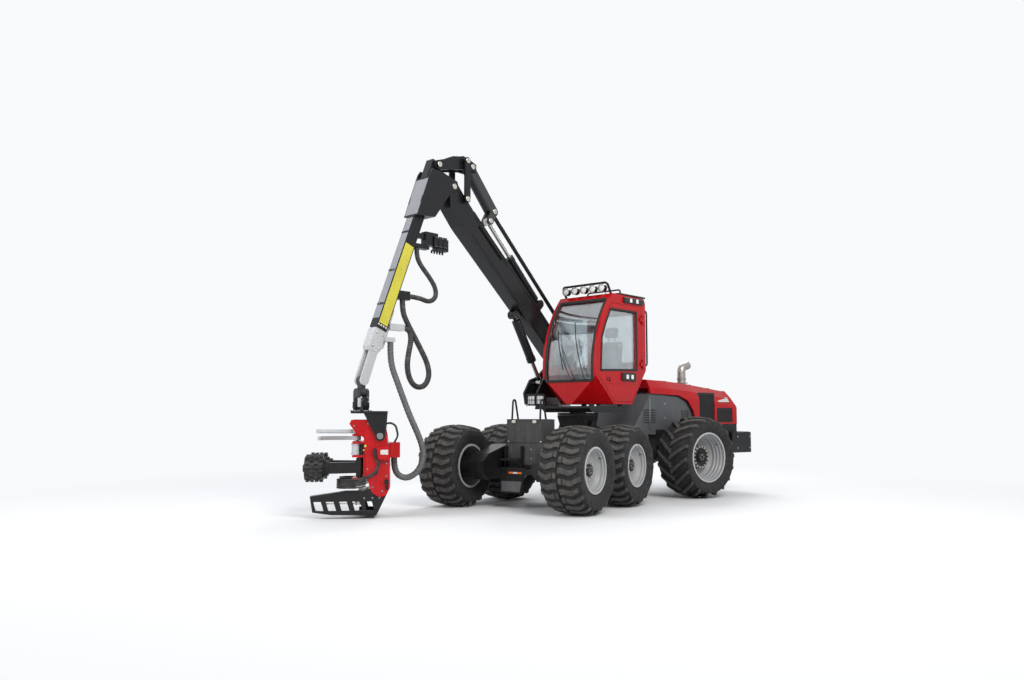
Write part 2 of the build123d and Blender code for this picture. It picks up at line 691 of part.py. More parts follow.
def slew_platform():
    """Platform plate with the arm that carries the crane's foot beside the cab."""
    low = RING_LOW + RING_THICK + RING_GAP
    high = low + PLATFORM_THICK
    plate = side_plate(
        [(-500, high - 40), (-460, low), (540, low), (620, high - 40), (620, high), (-500, high)],
        (CAB_CENTRE_Y - 560, CAB_CENTRE_Y + 520),
    )
    # lower edge of the crane's arm, from the plate up and out
    arm = [
        (CAB_CENTRE_Y - 555, low), (-560, CRANE_ARM_LOW), (CRANE_Y - 180, CRANE_ARM_LOW), (CRANE_Y - 180, CRANE_ARM_HIGH),
        (-500, CRANE_ARM_HIGH), (-400, high + 20), (CAB_CENTRE_Y - 555, high),
    ]
    face = make_face(Plane.YZ * Polyline(*arm, close=True))
    plate += Pos(CRANE_ARM_REAR, 0, 0) * extrude(face, amount=CRANE_ARM_FRONT - CRANE_ARM_REAR, dir=(1, 0, 0))
    plate -= post(0, 0, SPIGOT_RADIUS + PIN_FIT, (low - 1, low + 60 + 1))
    for x in (-440, 400):
        for y in (CAB_CENTRE_Y - 420, CAB_CENTRE_Y + 400):
            plate += post(x, y, 50, (high, CAB_FLOOR))
    cheek_in, cheek_out = BOOM_HALF + CLEAR, BOOM_HALF + CLEAR + 45
    outline = [
        (CRANE_ARM_REAR, CRANE_ARM_LOW + 20), (CRANE_ARM_FRONT, CRANE_ARM_LOW + 20), (460, high + 250), (LIFT_FOOT[0] + 110, LIFT_FOOT[1] + 60),
        (LIFT_FOOT[0] - 80, LIFT_FOOT[1] + 120), (BOOM_FOOT[0] + 120, BOOM_FOOT[1] + 60),
        (BOOM_FOOT[0] + 20, BOOM_FOOT[1] + 130), (STAY_FOOT[0] + 60, STAY_FOOT[1] + 110),
        (STAY_FOOT[0] - 80, STAY_FOOT[1] + 60), (STAY_FOOT[0] - 60, STAY_FOOT[1] - 90), (-640, 2400),
    ]
    for sign in (-1, 1):
        span = sorted((CRANE_Y + sign * cheek_in, CRANE_Y + sign * cheek_out))
        plate += side_plate(outline, span)
    for point in (BOOM_FOOT, STAY_FOOT):
        plate += drum(point[0], point[1], PIN_RADIUS, (CRANE_Y - cheek_out, CRANE_Y + cheek_out))
    return plate


def cab_outline(inset):
    """Side outline of the cab, smaller by an inset all round."""
    i = inset
    k = 0.4 * inset
    pts = [
        (CAB_FRONT - i, CAB_FLOOR + i),
        (CAB_FRONT - i, 2100),
        (450 - i, 2900),
        (80 - i, 3600 - k),
        (20 - i, CAB_ROOF - 10 - i),
        (CAB_REAR + 40 + i, CAB_ROOF - 30 - i),
        (CAB_REAR + i, CAB_ROOF - 110 - i),
        (CAB_REAR + i, 2330 + k),
        (-540 + k, CAB_FLOOR + i),
    ]
    p = [(x, 0, z) for x, z in pts]
    return [
        Line(p[0], p[1]), ThreePointArc(p[1], p[2], p[3]), Line(p[3], p[4]), Line(p[4], p[5]),
        Line(p[5], p[6]), Line(p[6], p[7]), Line(p[7], p[8]), Line(p[8], p[0]),
    ]


def corner_wedge(side, inset):
    """Wedge cut off a lower front corner of the cab."""
    half = CAB_WIDTH / 2
    y = CAB_CENTRE_Y + side * (half + 1)
    x = CAB_FRONT + 1
    shift = inset
    a = (x - shift, y - side * shift, CHAMFER_Z - shift)
    b = (x - shift, y - side * (CHAMFER_Y + shift), CAB_FLOOR - 1)
    c = (x - CHAMFER_X - shift, y - side * shift, CAB_FLOOR - 1)
    normal = (Vector(*b) - Vector(*a)).cross(Vector(*c) - Vector(*a))
    if normal.X < 0:
        normal = normal * -1
    return Plane(origin=a, z_dir=normal)


def cab_solid(inset):
    """Closed body of the cab, smaller by an inset all round."""
    half = CAB_WIDTH / 2 - inset
    body = side_shape(cab_outline(inset), (CAB_CENTRE_Y - half, CAB_CENTRE_Y + half))
    for side in (-1, 1):
        body = split(body, bisect_by=corner_wedge(side, inset), keep=Keep.BOTTOM)
    return body


def door_outline(gap):
    """Closed edges of the door's outline, smaller by a gap all round."""
    g = gap
    p = [
        (-860 + g, 3500 - g), (60 - g, 3500 - g), (395 - g, 2900), (455 - g, 2190 + g),
        (10 - g, 1740 + g), (-545 + g, 1740 + g), (-860 + g, 2200 + g / 2),
    ]
    q = [(x, 0, z) for x, z in p]
    return [
        Line(q[0], q[1]), ThreePointArc(q[1], q[2], q[3]), Line(q[3], q[4]), Line(q[4], q[5]),
        Line(q[5], q[6]), Line(q[6], q[0]),
    ]


def door_window_outline(gap):
    """Closed edges of the window in the door."""
    g = gap
    p = [(-700 + g, 3380 - g), (90 - g, 3380 - g), (345 - g, 2850), (385 - g, 2290 + g), (-700 + g, 2330 + g)]
    q = [(x, 0, z) for x, z in p]
    return [Line(q[0], q[1]), ThreePointArc(q[1], q[2], q[3]), Line(q[3], q[4]), Line(q[4], q[0])]


WALL_OUT = CAB_CENTRE_Y + CAB_WIDTH / 2
WALL_RIGHT = CAB_CENTRE_Y - CAB_WIDTH / 2
SCREEN = ((-80, CAB_FRONT + 100), (WALL_RIGHT + 80, WALL_OUT - 80), (2110, 3560))
REAR_WINDOW = ((CAB_REAR - 5, CAB_REAR + CAB_WALL + 5), (WALL_RIGHT + 130, WALL_OUT - 130), (2480, 3400))
RIGHT_WINDOW = [(-820, 2400), (340, 2400), (300, 2900), (60, 3380), (-820, 3380)]


def cab_shell():
    """Hollow cab with its window openings and doorway."""
    shell = cab_solid(0) - cab_solid(CAB_WALL)
    shell -= block(*SCREEN)
    shell -= block(*REAR_WINDOW)
    shell -= side_plate(RIGHT_WINDOW, (WALL_RIGHT - 5, WALL_RIGHT + CAB_WALL + 5))
    shell -= side_shape(door_outline(0), (WALL_OUT - CAB_WALL - 5, WALL_OUT + 5))
    for z in HINGE_LEVELS:
        for low in (z - HINGE_HIGH - 2, z + HINGE_HIGH / 2 + 2):
            lug = block((HINGE_X - 60, HINGE_X), (WALL_OUT, HINGE_Y + 6), (low, low + HINGE_HIGH / 2))
            shell += lug + post(HINGE_X, HINGE_Y, 16, (low, low + HINGE_HIGH / 2))
        shell += post(HINGE_X, HINGE_Y, HINGE_PIN, (z - HINGE_HIGH, z + HINGE_HIGH))
    rail = pipe([(60, WALL_RIGHT + 15, 3400), (150, WALL_RIGHT - 45, 3400), (480, WALL_RIGHT - 45, 2520), (420, WALL_RIGHT + 15, 2500)], 15, 45)
    return shell + (rail - cab_solid(0))


def cab_windows():
    """Curved windscreen, rear window and right window."""
    screen = side_shape(cab_outline(20), (SCREEN[1][0] + FIT, SCREEN[1][1] - FIT))
    screen -= side_shape(cab_outline(20 + GLASS), (SCREEN[1][0] - 1, SCREEN[1][1] + 1))
    screen = screen & block((-75, CAB_FRONT + 100), SCREEN[1], (SCREEN[2][0] + FIT, SCREEN[2][1] - FIT))
    y, z = REAR_WINDOW[1], REAR_WINDOW[2]
    rear = block((CAB_REAR + 20, CAB_REAR + 20 + GLASS), (y[0] + FIT, y[1] - FIT), (z[0] + FIT, z[1] - FIT))
    inner = [(-820 + FIT, 2400 + FIT), (340 - FIT, 2400 + FIT), (300 - FIT, 2900), (60 - FIT, 3380 - FIT), (-820 + FIT, 3380 - FIT)]
    right = side_plate(inner, (WALL_RIGHT + 20, WALL_RIGHT + 20 + GLASS))
    return screen + rear + right


def cab_door():
    """Door as thick as the cab's wall, with its window cut out and its hinges."""
    span = (WALL_OUT - CAB_WALL, WALL_OUT)
    door = side_shape(door_outline(DOOR_GAP), span)
    door -= side_shape(door_window_outline(0), (span[0] - 5, span[1] + 5))
    for z in HINGE_LEVELS:
        low, high = z - HINGE_HIGH / 2 + 2, z + HINGE_HIGH / 2 - 2
        door += block((HINGE_X, HINGE_X + 70), (WALL_OUT, HINGE_Y + 6), (low, high)) + post(HINGE_X, HINGE_Y, 16, (low, high))
        door -= post(HINGE_X, HINGE_Y, HINGE_PIN + PIN_FIT, (low - 1, high + 1))
    door += lamp_pod((-430, WALL_OUT - 5, 2190), 0)
    handle = block((110, 230), (WALL_OUT - 18, WALL_OUT + 1), (2090, 2170))
    return door - handle + block((125, 215), (WALL_OUT - 20, WALL_OUT - 4), (2120, 2150))


def lamp_pod(place, turn):
    """Housing with two square lamps sunk in its face, facing left before its turn."""
    body = block((-205, 205), (0, POD_DEPTH), (-72, 72))
    body = chamfer(body.edges().filter_by(Axis.Y), 22)
    body = chamfer(body.faces().sort_by(Axis.Y)[-1].edges(), 9)
    for x in (-82, 68):
        body -= block((x - 42, x + 42), (POD_DEPTH - 14, POD_DEPTH + 1), (-44, 44))
    return Pos(*place) * Rot(0, 0, turn) * body


def door_window():
    """Pane in the door."""
    return side_shape(door_window_outline(FIT), (WALL_OUT - 35, WALL_OUT - 35 + GLASS))


def seat():
    """Driver's seat on its pedestal, with arm consoles."""
    y = CAB_CENTRE_Y
    floor = CAB_FLOOR + CAB_WALL
    base = post(-360, y, 130, (floor, floor + 260))
    base += block((-700, -140), (y - 250, y + 250), (floor + 260, floor + 400))
    back = side_plate([(-720, floor + 400), (-590, floor + 400), (-700, floor + 1150), (-800, floor + 1150)], (y - 240, y + 240))
    head = side_plate([(-800, floor + 1190), (-700, floor + 1190), (-720, floor + 1400), (-800, floor + 1400)], (y - 140, y + 140))
    stem = block((-770, -730), (y - 60, y + 60), (floor + 1150, floor + 1190))
    arms = None
    for side in (-1, 1):
        arm = block((-560, -60), sorted((y + side * 270, y + side * 360)), (floor + 560, floor + 640))
        arm += block((-560, -480), sorted((y + side * 250, y + side * 360)), (floor + 300, floor + 560))
        arms = arm if arms is None else arms + arm
    return base + back + head + stem + arms


def lamp_bar():
    """Tube hoop over the roof with five round lamps, and the hand rail behind the door."""
    z = CAB_ROOF
    y0, y1 = WALL_RIGHT + 90, WALL_OUT - 90
    path = [(-60, y0, z - 20), (60, y0, z + 190), (60, y1, z + 190), (-60, y1, z - 20)]
    hoop = pipe(path, 22, 60)
    count = 5
    pitch = (y1 - y0 - 200) / (count - 1)
    for i in range(count):
        y = y0 + 100 + i * pitch
        lamp = Pos(60, y, z + 95) * Rot(0, 90, 0) * (Cylinder(68, 90) - Pos(0, 0, 45) * Cylinder(58, 24))
        hoop += lamp + bar((60, y, z + 95), (60, y, z + 190), 14)
    rail_x = CAB_REAR - 130
    rail_y = WALL_OUT - 60
    rail = pipe([(CAB_REAR, rail_y, 3450), (rail_x, rail_y, 3450), (rail_x, rail_y, 2420), (CAB_REAR, rail_y, 2420)], 16, 60)
    return (hoop - cab_solid(0)) + rail


# Crane, in the slewing part's frame

def layer(low, high):
    """Two mirrored bands of the crane's width, each from low to high off its middle."""
    return ((CRANE_Y - high, CRANE_Y - low), (CRANE_Y + low, CRANE_Y + high))


def middle(half):
    """Band of the crane's width centred on its plane."""
    return (CRANE_Y - half, CRANE_Y + half)


def hole(point, y):
    """Cutter for a pin's bore through a band of the crane's width."""
    return drum(point[0], point[1], PIN_RADIUS + PIN_FIT, (y[0] - 2, y[1] + 2))


def link(points, radius, y):
    """Flat link through two or more pins, with a round eye at each."""
    shape = None
    for p in points:
        e = drum(p[0], p[1], radius, y)
        shape = e if shape is None else shape + e
    for p, q in zip(points, points[1:]):
        length, _ = aim(p, q)
        strap = side_plate(
            [along(p, q, 0, -radius), along(p, q, length, -radius), along(p, q, length, radius), along(p, q, 0, radius)],
            y,
        )
        shape += strap
    return shape


def main_boom():
    """Straight box boom with its foot eye, tip eye and the brackets of its rams."""
    span = middle(BOOM_HALF)
    length, _ = aim(BOOM_FOOT, BOOM_TIP)
    # share of the boom's length, low edge, high edge
    rows = (
        (0.0, -110, 110),
        (0.09, -225, 170),
        (0.34, -245, 165),
        (0.86, -335, 95),
        (0.95, -300, 105),
        (1.0, -120, 120),
    )
    low = [along(BOOM_FOOT, BOOM_TIP, share * length, a) for share, a, _ in rows]
    high = [along(BOOM_FOOT, BOOM_TIP, share * length, b) for share, _, b in reversed(rows)]
    boom = side_plate(low + high, span)
    for p in (BOOM_FOOT, BOOM_TIP):
        boom += drum(p[0], p[1], 120, span)
    for y in layer(EYE_HALF + CLEAR, EYE_HALF + CLEAR + LINK_THICK):
        boom += link([RAM_FOOT, along(RAM_FOOT, RAM_EYE, 0, -230)], EYE_RADIUS, y)
        boom += link([LIFT_EYE, along(LIFT_EYE, LIFT_FOOT, -20, -150)], EYE_RADIUS, y)
    for p in (RAM_FOOT, LIFT_EYE):
        boom += drum(p[0], p[1], PIN_RADIUS, middle(EYE_HALF + CLEAR + LINK_THICK))
    boom += drum(ROCKER_FOOT[0], ROCKER_FOOT[1], PIN_RADIUS, middle(ROCKER_IN + LINK_THICK))
    boom += drum(BOOM_TIP[0], BOOM_TIP[1], PIN_RADIUS, middle(CHEEK_IN + CHEEK_THICK))
    return boom - hole(BOOM_FOOT, span)


def jib_axis(distance, rise=0.0):
    """Point at a distance down the jib from its top pin, and square to it."""
    return along(JIB_TOP, JIB_END, distance, rise)


def jib_back(z):
    """Place of the jib's rear face at a height."""
    length, _ = aim(JIB_TOP, JIB_END)
    drop = JIB_TOP[1] - JIB_END[1]
    return JIB_TOP[0] + (JIB_TOP[1] - z) * (JIB_END[0] - JIB_TOP[0]) / drop - JIB_DEPTH / 2 * length / drop


def jib():
    """Outer jib: a hollow box below the head that carries its pins, open at its end."""
    length, _ = aim(JIB_TOP, JIB_END)
    half = JIB_DEPTH / 2
    span = middle(JIB_WIDTH / 2)
    body = side_plate([jib_axis(-60, -half), jib_axis(length, -half), jib_axis(length, half), jib_axis(-60, half)], span)
    wall = JIB_WALL
    bore = side_plate(
        [jib_axis(HEAD_SOLID, -half + wall), jib_axis(length + 1, -half + wall), jib_axis(length + 1, half - wall), jib_axis(HEAD_SOLID, half - wall)],
        middle(JIB_WIDTH / 2 - wall),
    )
    body -= bore
    wide = [jib_axis(300, -half - 20), jib_axis(320, half + 20), jib_axis(1050, half), jib_axis(880, -half - 140), jib_axis(520, -half - 190)]
    body += side_plate(wide, middle(CHEEK_IN + CHEEK_THICK)) - bore
    cheek = [
        jib_axis(150, half), jib_axis(230, half + 20), jib_axis(800, half + 10), jib_axis(880, -half - 140),
        (BOOM_TIP[0] + 70, BOOM_TIP[1] - 110), (BOOM_TIP[0] - 105, BOOM_TIP[1] - 30), (BOOM_TIP[0] - 60, BOOM_TIP[1] + 95), jib_axis(90, -half),
    ]
    for y in layer(CHEEK_IN, CHEEK_IN + CHEEK_THICK):
        body += side_plate(cheek, y)
        body -= hole(BOOM_TIP, y)
    body -= drum(BOOM_TIP[0], BOOM_TIP[1], 160, middle(CHEEK_IN))
    x, low, high = HOSE_A[-1][0], HOSE_B[0][2], HOSE_B[0][2] + 140
    clamp = [(x, low), (jib_back(low) + 5, low), (jib_back(high) + 5, high), (x, high)]
    return body + side_plate(clamp, (CRANE_Y - 20, CRANE_Y + JIB_WIDTH / 2))


def jib_extension():
    """Telescope inside the jib, with the nose that holds the hanger's pin."""
    length, _ = aim(JIB_TOP, JIB_END)
    half = JIB_DEPTH / 2 - JIB_WALL - CLEAR / 2
    side = JIB_WIDTH / 2 - JIB_WALL - CLEAR / 2
    tube = side_plate(
        [jib_axis(HEAD_SOLID + 40, -half), jib_axis(length + EXTENSION_SHOW, -half), jib_axis(length + EXTENSION_SHOW, half), jib_axis(HEAD_SOLID + 40, half)],
        middle(side),
    )
    core = side_plate(
        [jib_axis(HEAD_SOLID + 20, -half + 12), jib_axis(length + 120, -half + 12), jib_axis(length + 120, half - 12), jib_axis(HEAD_SOLID + 20, half - 12)],
        middle(side - 12),
    )
    collar = side_plate(
        [jib_axis(length + 20, -half - 22), jib_axis(length + 330, -half - 22), jib_axis(length + 380, -half + 10), jib_axis(length + 380, half - 10), jib_axis(length + 330, half + 22), jib_axis(length + 20, half + 22)],
        middle(side + 22),
    )
    nose = tube - core + collar
    for y in layer(NOSE_IN, NOSE_IN + LINK_THICK):
        nose += link([jib_axis(length + 300), HANG_PIN], EYE_RADIUS, y)
    back = -JIB_DEPTH / 2 - CLEAR
    nose += side_plate(
        [jib_axis(length - 450, back), jib_axis(length + 20, back), jib_axis(length + 30, 0), jib_axis(length + 250, 0),
         jib_axis(length + 300, back - 20), jib_axis(length + 240, back - 75), jib_axis(length - 400, back - 50)],
        middle(30),
    )
    loop, drop = HOSE_B[-1], (HOSE_C_TOP[0], HOSE_C_TOP[1])
    nose += block((loop[0], loop[0] + 290), (CRANE_Y - 20, CRANE_Y + 100), (loop[2] - 50, loop[2] + 50))
    nose += block((drop[0] - 55, drop[0] + 150), (CRANE_Y - 20, CRANE_Y + 105), (drop[1], drop[1] + 70))
    nose += drum(HANG_PIN[0], HANG_PIN[1], PIN_RADIUS, middle(NOSE_IN + LINK_THICK))
    return nose


def top_link():
    """Boxed link from the jib's top to the rocker and the push link."""
    body = None
    for y in layer(TOP_LINK_IN, TOP_LINK_IN + LINK_THICK):
        plate = side_plate(
            [(JIB_TOP[0] + 60, JIB_TOP[1] + 60), (KNEE[0] + 40, KNEE[1] + 90), (KNEE[0] - 60, KNEE[1] + 80), (PUSH_TOP[0] - 80, PUSH_TOP[1] + 50),
             (PUSH_TOP[0] - 80, PUSH_TOP[1] - 80), (KNEE[0] - 60, KNEE[1] - 130), (JIB_TOP[0] - 50, JIB_TOP[1] - 75), (JIB_TOP[0] + 70, JIB_TOP[1] - 60)],
            y,
        )
        body = plate if body is None else body + plate
    web = side_plate(
        [(KNEE[0] + 250, KNEE[1] + 46), (KNEE[0] + 40, KNEE[1] + 88), (KNEE[0] - 60, KNEE[1] + 78), (KNEE[0] - 60, KNEE[1] + 48), (KNEE[0] + 40, KNEE[1] + 58), (KNEE[0] + 250, KNEE[1] + 16)],
        middle(TOP_LINK_IN),
    )
    body += web
    body += drum(KNEE[0], KNEE[1], PIN_RADIUS, middle(ROCKER_IN + LINK_THICK))
    body += drum(PUSH_TOP[0], PUSH_TOP[1], PIN_RADIUS, middle(TOP_LINK_IN + 5))
    return body


def rocker():
    """Pair of plates from the boom up to the top link, joined by nothing but their pins."""
    pair = None
    for y in layer(ROCKER_IN, ROCKER_IN + LINK_THICK):
        plate = link([ROCKER_FOOT, KNEE], 62, y) - hole(ROCKER_FOOT, y) - hole(KNEE, y)
        pair = plate if pair is None else pair + plate
    return pair


def push_link():
    """Boxed link from the top link down to the stay and the jib's ram."""
    box = link([PUSH_TOP, STAY_TOP], EYE_RADIUS + 5, middle(PUSH_HALF)) - hole(PUSH_TOP, middle(PUSH_HALF))
    slot = side_plate(
        [along(PUSH_TOP, STAY_TOP, 190, -200), along(PUSH_TOP, STAY_TOP, 1300, -200), along(PUSH_TOP, STAY_TOP, 1300, 200), along(PUSH_TOP, STAY_TOP, 190, 200)],
        middle(EYE_HALF + CLEAR),
    )
    box -= slot
    for y in layer(EYE_HALF + CLEAR, PUSH_HALF):
        box += link([STAY_TOP, RAM_EYE], EYE_RADIUS - 5, y)
    return box


def stay():
    """Long round stay from the crane's foot to the push link."""
    tube = bar(in_plane(STAY_FOOT, CRANE_Y), in_plane(STAY_TOP, CRANE_Y), STAY_RADIUS)
    tube += drum(STAY_FOOT[0], STAY_FOOT[1], EYE_RADIUS - 10, middle(EYE_HALF))
    tube += drum(STAY_TOP[0], STAY_TOP[1], EYE_RADIUS - 25, middle(EYE_HALF))
    return tube - hole(STAY_FOOT, middle(EYE_HALF + CLEAR))


def ram_barrel(foot, head, share, radius):
    """Cylinder barrel with its foot eye and gland, bored for the rod."""
    length, _ = aim(foot, head)
    end = in_plane(along(foot, head, share * length), CRANE_Y)
    bottom = in_plane(along(foot, head, EYE_RADIUS + 40), CRANE_Y)
    bore_start = in_plane(along(foot, head, EYE_RADIUS + 60), CRANE_Y)
    body = bar(bottom, end, radius) + bar(in_plane(foot, CRANE_Y), bottom, EYE_HALF)
    body += bar(in_plane(along(foot, head, share * length - 90), CRANE_Y), end, radius + GLAND_STEP)
    body += drum(foot[0], foot[1], EYE_RADIUS, middle(EYE_HALF))
    body -= hole(foot, middle(EYE_HALF + 5))
    past = in_plane(along(foot, head, share * length + 5), CRANE_Y)
    return body - bar(bore_start, past, RAM_ROD_RADIUS + FIT)


def ram_rod(foot, head, start_at, pin_half):
    """Piston rod, inside its barrel for most of its length, with its eye and pin."""
    length, _ = aim(foot, head)
    start = in_plane(along(foot, head, start_at), CRANE_Y)
    body = bar(start, in_plane(along(foot, head, length - 40), CRANE_Y), RAM_ROD_RADIUS)
    body += drum(head[0], head[1], EYE_RADIUS - 10, middle(EYE_HALF))
    return body + drum(head[0], head[1], PIN_RADIUS, middle(pin_half))


def valve_boxes():
    """Pair of valve boxes hung behind the jib."""
    at = VALVE_AT
    box = block((at[0] - 210, at[0] + 60), middle(60), (at[1] - 130, at[1] + 90))
    box += block((at[0] - 430, at[0] - 200), middle(75), (at[1] - 190, at[1] + 10))
    box += side_plate(
        [(at[0], at[1] + 60), jib_axis(1240, -JIB_DEPTH / 2 - FIT), jib_axis(1330, -JIB_DEPTH / 2 - FIT), (at[0], at[1] - 30)],
        middle(30),
    )
    low, high = HOSE_A[0][2], HOSE_A[0][2] + 70
    gland = [(at[0], low), (jib_back(low) - FIT, low), (jib_back(high) - FIT, high), (at[0], high)]
    box += side_plate(gland, (CRANE_Y - 40, CRANE_Y + 80))
    return box


# Hanger

def hanger_link():
    """Cross link between the jib's nose and the rotator, with its two pins square to each other."""
    f, z = HANG_PIN
    body = drum(f, z, EYE_RADIUS - 8, middle(NOSE_IN - CLEAR)) - hole(HANG_PIN, middle(NOSE_IN))
    body += block((f - 45, f + 45), middle(NOSE_IN - CLEAR), (CROSS_Z, z - PIN_RADIUS - 12))
    body += Pos(f, CRANE_Y, CROSS_Z) * Rot(0, 90, 0) * Cylinder(EYE_RADIUS - 12, 90)
    body += Pos(f, CRANE_Y, CROSS_Z) * Rot(0, 90, 0) * Cylinder(PIN_RADIUS - 8, 210)
    return body


def rotator():
    """Rotator with the ears that hang on the cross link's lower pin."""
    f = HANG_PIN[0]
    body = post(f, CRANE_Y, ROTATOR_RADIUS, (ROTATOR_LOW, ROTATOR_HIGH))
    for x0, x1 in ((f - 105, f - 55), (f + 55, f + 105)):
        ear = block((x0, x1), middle(60), (ROTATOR_HIGH - 20, CROSS_Z)) + Pos((x0 + x1) / 2, CRANE_Y, CROSS_Z) * Rot(0, 90, 0) * Cylinder(60, x1 - x0)
        ear -= Pos((x0 + x1) / 2, CRANE_Y, CROSS_Z) * Rot(0, 90, 0) * Cylinder(PIN_RADIUS - 8 + PIN_FIT, x1 - x0 + 4)
        body += ear
    body += post(f, CRANE_Y, 45, (ROTATOR_LOW - 30, ROTATOR_LOW))
    return body


# Head, in its own frame under the rotator: +X towards the tree

def tilt_bracket():
    """Plate under the rotator with two arms down to the head's tilt pins."""
    top = ROTATOR_LOW - CLEAR
    body = block((-400, 130), (-HEAD_HALF - 60, HEAD_HALF + 60), (top - 35, top))
    body -= post(0, 0, 45 + PIN_FIT, (top - 36, top + 1))
    for side in (-1, 1):
        y = sorted((side * (HEAD_HALF + CLEAR), side * (HEAD_HALF + CLEAR + 40)))
        arm = side_plate([(-390, top - 35), (-60, top - 35), (TILT_X + 70, TILT_PIN_Z), (TILT_X - 70, TILT_PIN_Z)], y)
        body += arm + drum(TILT_X, TILT_PIN_Z, 70, y)
    return body


def head_frame():
    """Red head frame: two side plates, a back and cross tubes, hung on its tilt pins."""
    outline = [
        (120, 1440), (150, 1380), (60, 1250), (-60, 1180), (-90, 900), (-100, 620), (-190, 380), (-300, 310),
        (-400, 340), (-450, 440), (-440, 900), (-400, 1180), (-370, 1330), (-330, 1400), (-280, 1440),
    ]
    body = None
    for side in (-1, 1):
        y = sorted((side * (HEAD_HALF - 25), side * HEAD_HALF))
        plate = side_plate(outline, y)
        body = plate if body is None else body + plate
    inner = (-HEAD_HALF + 25, HEAD_HALF - 25)
    body += side_plate([(-450, 440), (-440, 900), (-400, 1180), (-375, 1180), (-415, 900), (-425, 440)], inner)
    body += block((-330, 100), inner, (1405, 1430))
    for x, z in ((-300, 500), (-140, 900), (TILT_X, TILT_PIN_Z)):
        body += drum(x, z, 40, inner)
    for side in (-1, 1):
        body += drum(TILT_X, TILT_PIN_Z, 40, sorted((side * (HEAD_HALF - 5), side * (HEAD_HALF + CLEAR - 3))))
    body += block((-590, -425), (-190, 190), (HOSE_C[-1][2], 1100))
    for z in KNIFE_PIVOTS + (ARM_LOW - 40, ARM_HIGH + 10):
        body += block((-110, KNIFE_X + 45), (-HEAD_HALF + 25, HEAD_HALF - 25), (z, z + 30))
    for side in (-1, 1):
        z = knife_base(side)
        body += post(KNIFE_X, side * KNIFE_Y, KNIFE_PIN, (z - CLEAR, z + KNIFE_HIGH))
        body += post(ARM_X, side * ARM_Y, ARM_PIN, (ARM_LOW - 20, ARM_HIGH + 20))
    body += block((-110, -60), (-HEAD_HALF + 25, HEAD_HALF - 25), (ARM_LOW - 40, KNIFE_PIVOTS[1]))
    return body


def saw_box():
    """Black saw box with its windowed skid guard."""
    outline = [(700, 330), (660, 100), (400, 60), (-260, HEAD_LOW), (-420, 380), (-420, 430), (-120, 430), (-60, 400), (200, 400)]
    inner = [(670, 310), (640, 118), (395, 80), (-245, HEAD_LOW + 22), (-385, 370), (200, 370)]
    body = side_plate(outline, (-SAW_HALF, SAW_HALF)) - side_plate(inner, (-SAW_HALF + 20, SAW_HALF - 20))
    # window: low left, low right, high right, high left
    for x in (-230, -60, 130, 320, 500):
        body -= side_plate([(x, 120), (x + 110, 120), (x + 150, 250), (x + 40, 250)], (-SAW_HALF - 1, SAW_HALF + 1))
    body -= block((SAW_X + 20, 720), (-SAW_HALF - 1, SAW_INNER), (0, 500))
    return body + post(SAW_X, SAW_Y, ARM_PIN, (205, 400))


def knife_base(side):
    """Height of the lower face of the left (1) or right (-1) knife."""
    return KNIFE_PIVOTS[0 if side > 0 else 1] + 30 + CLEAR


def knife(side):
    """Curved delimbing knife round the stem, with its pivot eye."""
    z0 = knife_base(side)
    z1 = z0 + KNIFE_HIGH
    ring = post(STEM_X, 0, KNIFE_RADIUS + 35, (z0, z1)) - post(STEM_X, 0, KNIFE_RADIUS, (z0 - 1, z1 + 1))
    blade = ring & block((0, STEM_X + 330), sorted((side * 120, side * 600)), (z0 - 1, z1 + 1))
    eye = post(KNIFE_X, side * KNIFE_Y, 55, (z0, z1))
    return blade + eye - post(KNIFE_X, side * KNIFE_Y, KNIFE_PIN + PIN_FIT, (z0 - 1, z1 + 1))


def feed_arm(side):
    """Swinging arm that reaches out to a feed roller."""
    y = side * ARM_Y
    body = post(ARM_X, y, 50, (ARM_LOW, ARM_HIGH))
    roller_y = side * ROLLER_Y
    low, high = ARM_LOW + 60, ARM_HIGH - 60
    outline = [(ARM_X, y - side * 30), (ROLLER_X - 30, roller_y - side * 60), (ROLLER_X - 30, roller_y + side * 80), (ARM_X, y + side * 50)]
    plate = make_face(Polyline(*[(px, py, low) for px, py in outline], close=True))
    body += extrude(plate, amount=high - low, dir=(0, 0, 1))
    body += Pos(ROLLER_X - 40, roller_y, ROLLER_Z) * Rot(0, 90, 0) * Cylinder(110, 60)
    body += Pos(ROLLER_X + 40, roller_y, ROLLER_Z) * Rot(0, 90, 0) * Cylinder(50, 220)
    return body - post(ARM_X, y, ARM_PIN + PIN_FIT, (ARM_LOW - 1, ARM_HIGH + 1))


def feed_roller(side):
    """Feed roller on the arm's end: a drum with rings of studs out to their tips."""
    y = side * ROLLER_Y
    core = ROLLER_RADIUS - STUD_HEIGHT
    drum_shape = Cylinder(core, ROLLER_WIDTH)
    ring = ROLLER_WIDTH / STUD_RINGS
    for i in range(STUD_RINGS):
        low = -ROLLER_WIDTH / 2 + i * ring + 3
        drum_shape += Pos(0, 0, low) * Rot(0, 0, i * 180 / STUD_COUNT) * extrude(stud_ring(core - 4), amount=ring - 18)
    drum_shape -= Cylinder(50 + FIT, ROLLER_WIDTH + 2)
    return Pos(ROLLER_X + CLEAR + ROLLER_WIDTH / 2, y, ROLLER_Z) * Rot(0, 90, 0) * drum_shape


def stud_ring(core):
    """Flat outline of one ring of studs, toothed from the drum out to the tips."""
    points = []
    step = 360 / STUD_COUNT
    # share of the pitch, radius
    tooth = ((-0.28, core), (-0.14, ROLLER_RADIUS), (0.14, ROLLER_RADIUS), (0.28, core))
    for i in range(STUD_COUNT):
        for share, r in tooth:
            angle = radians((i + share) * step)
            points.append((r * cos(angle), r * sin(angle)))
    return make_face(Polyline(*points, close=True))


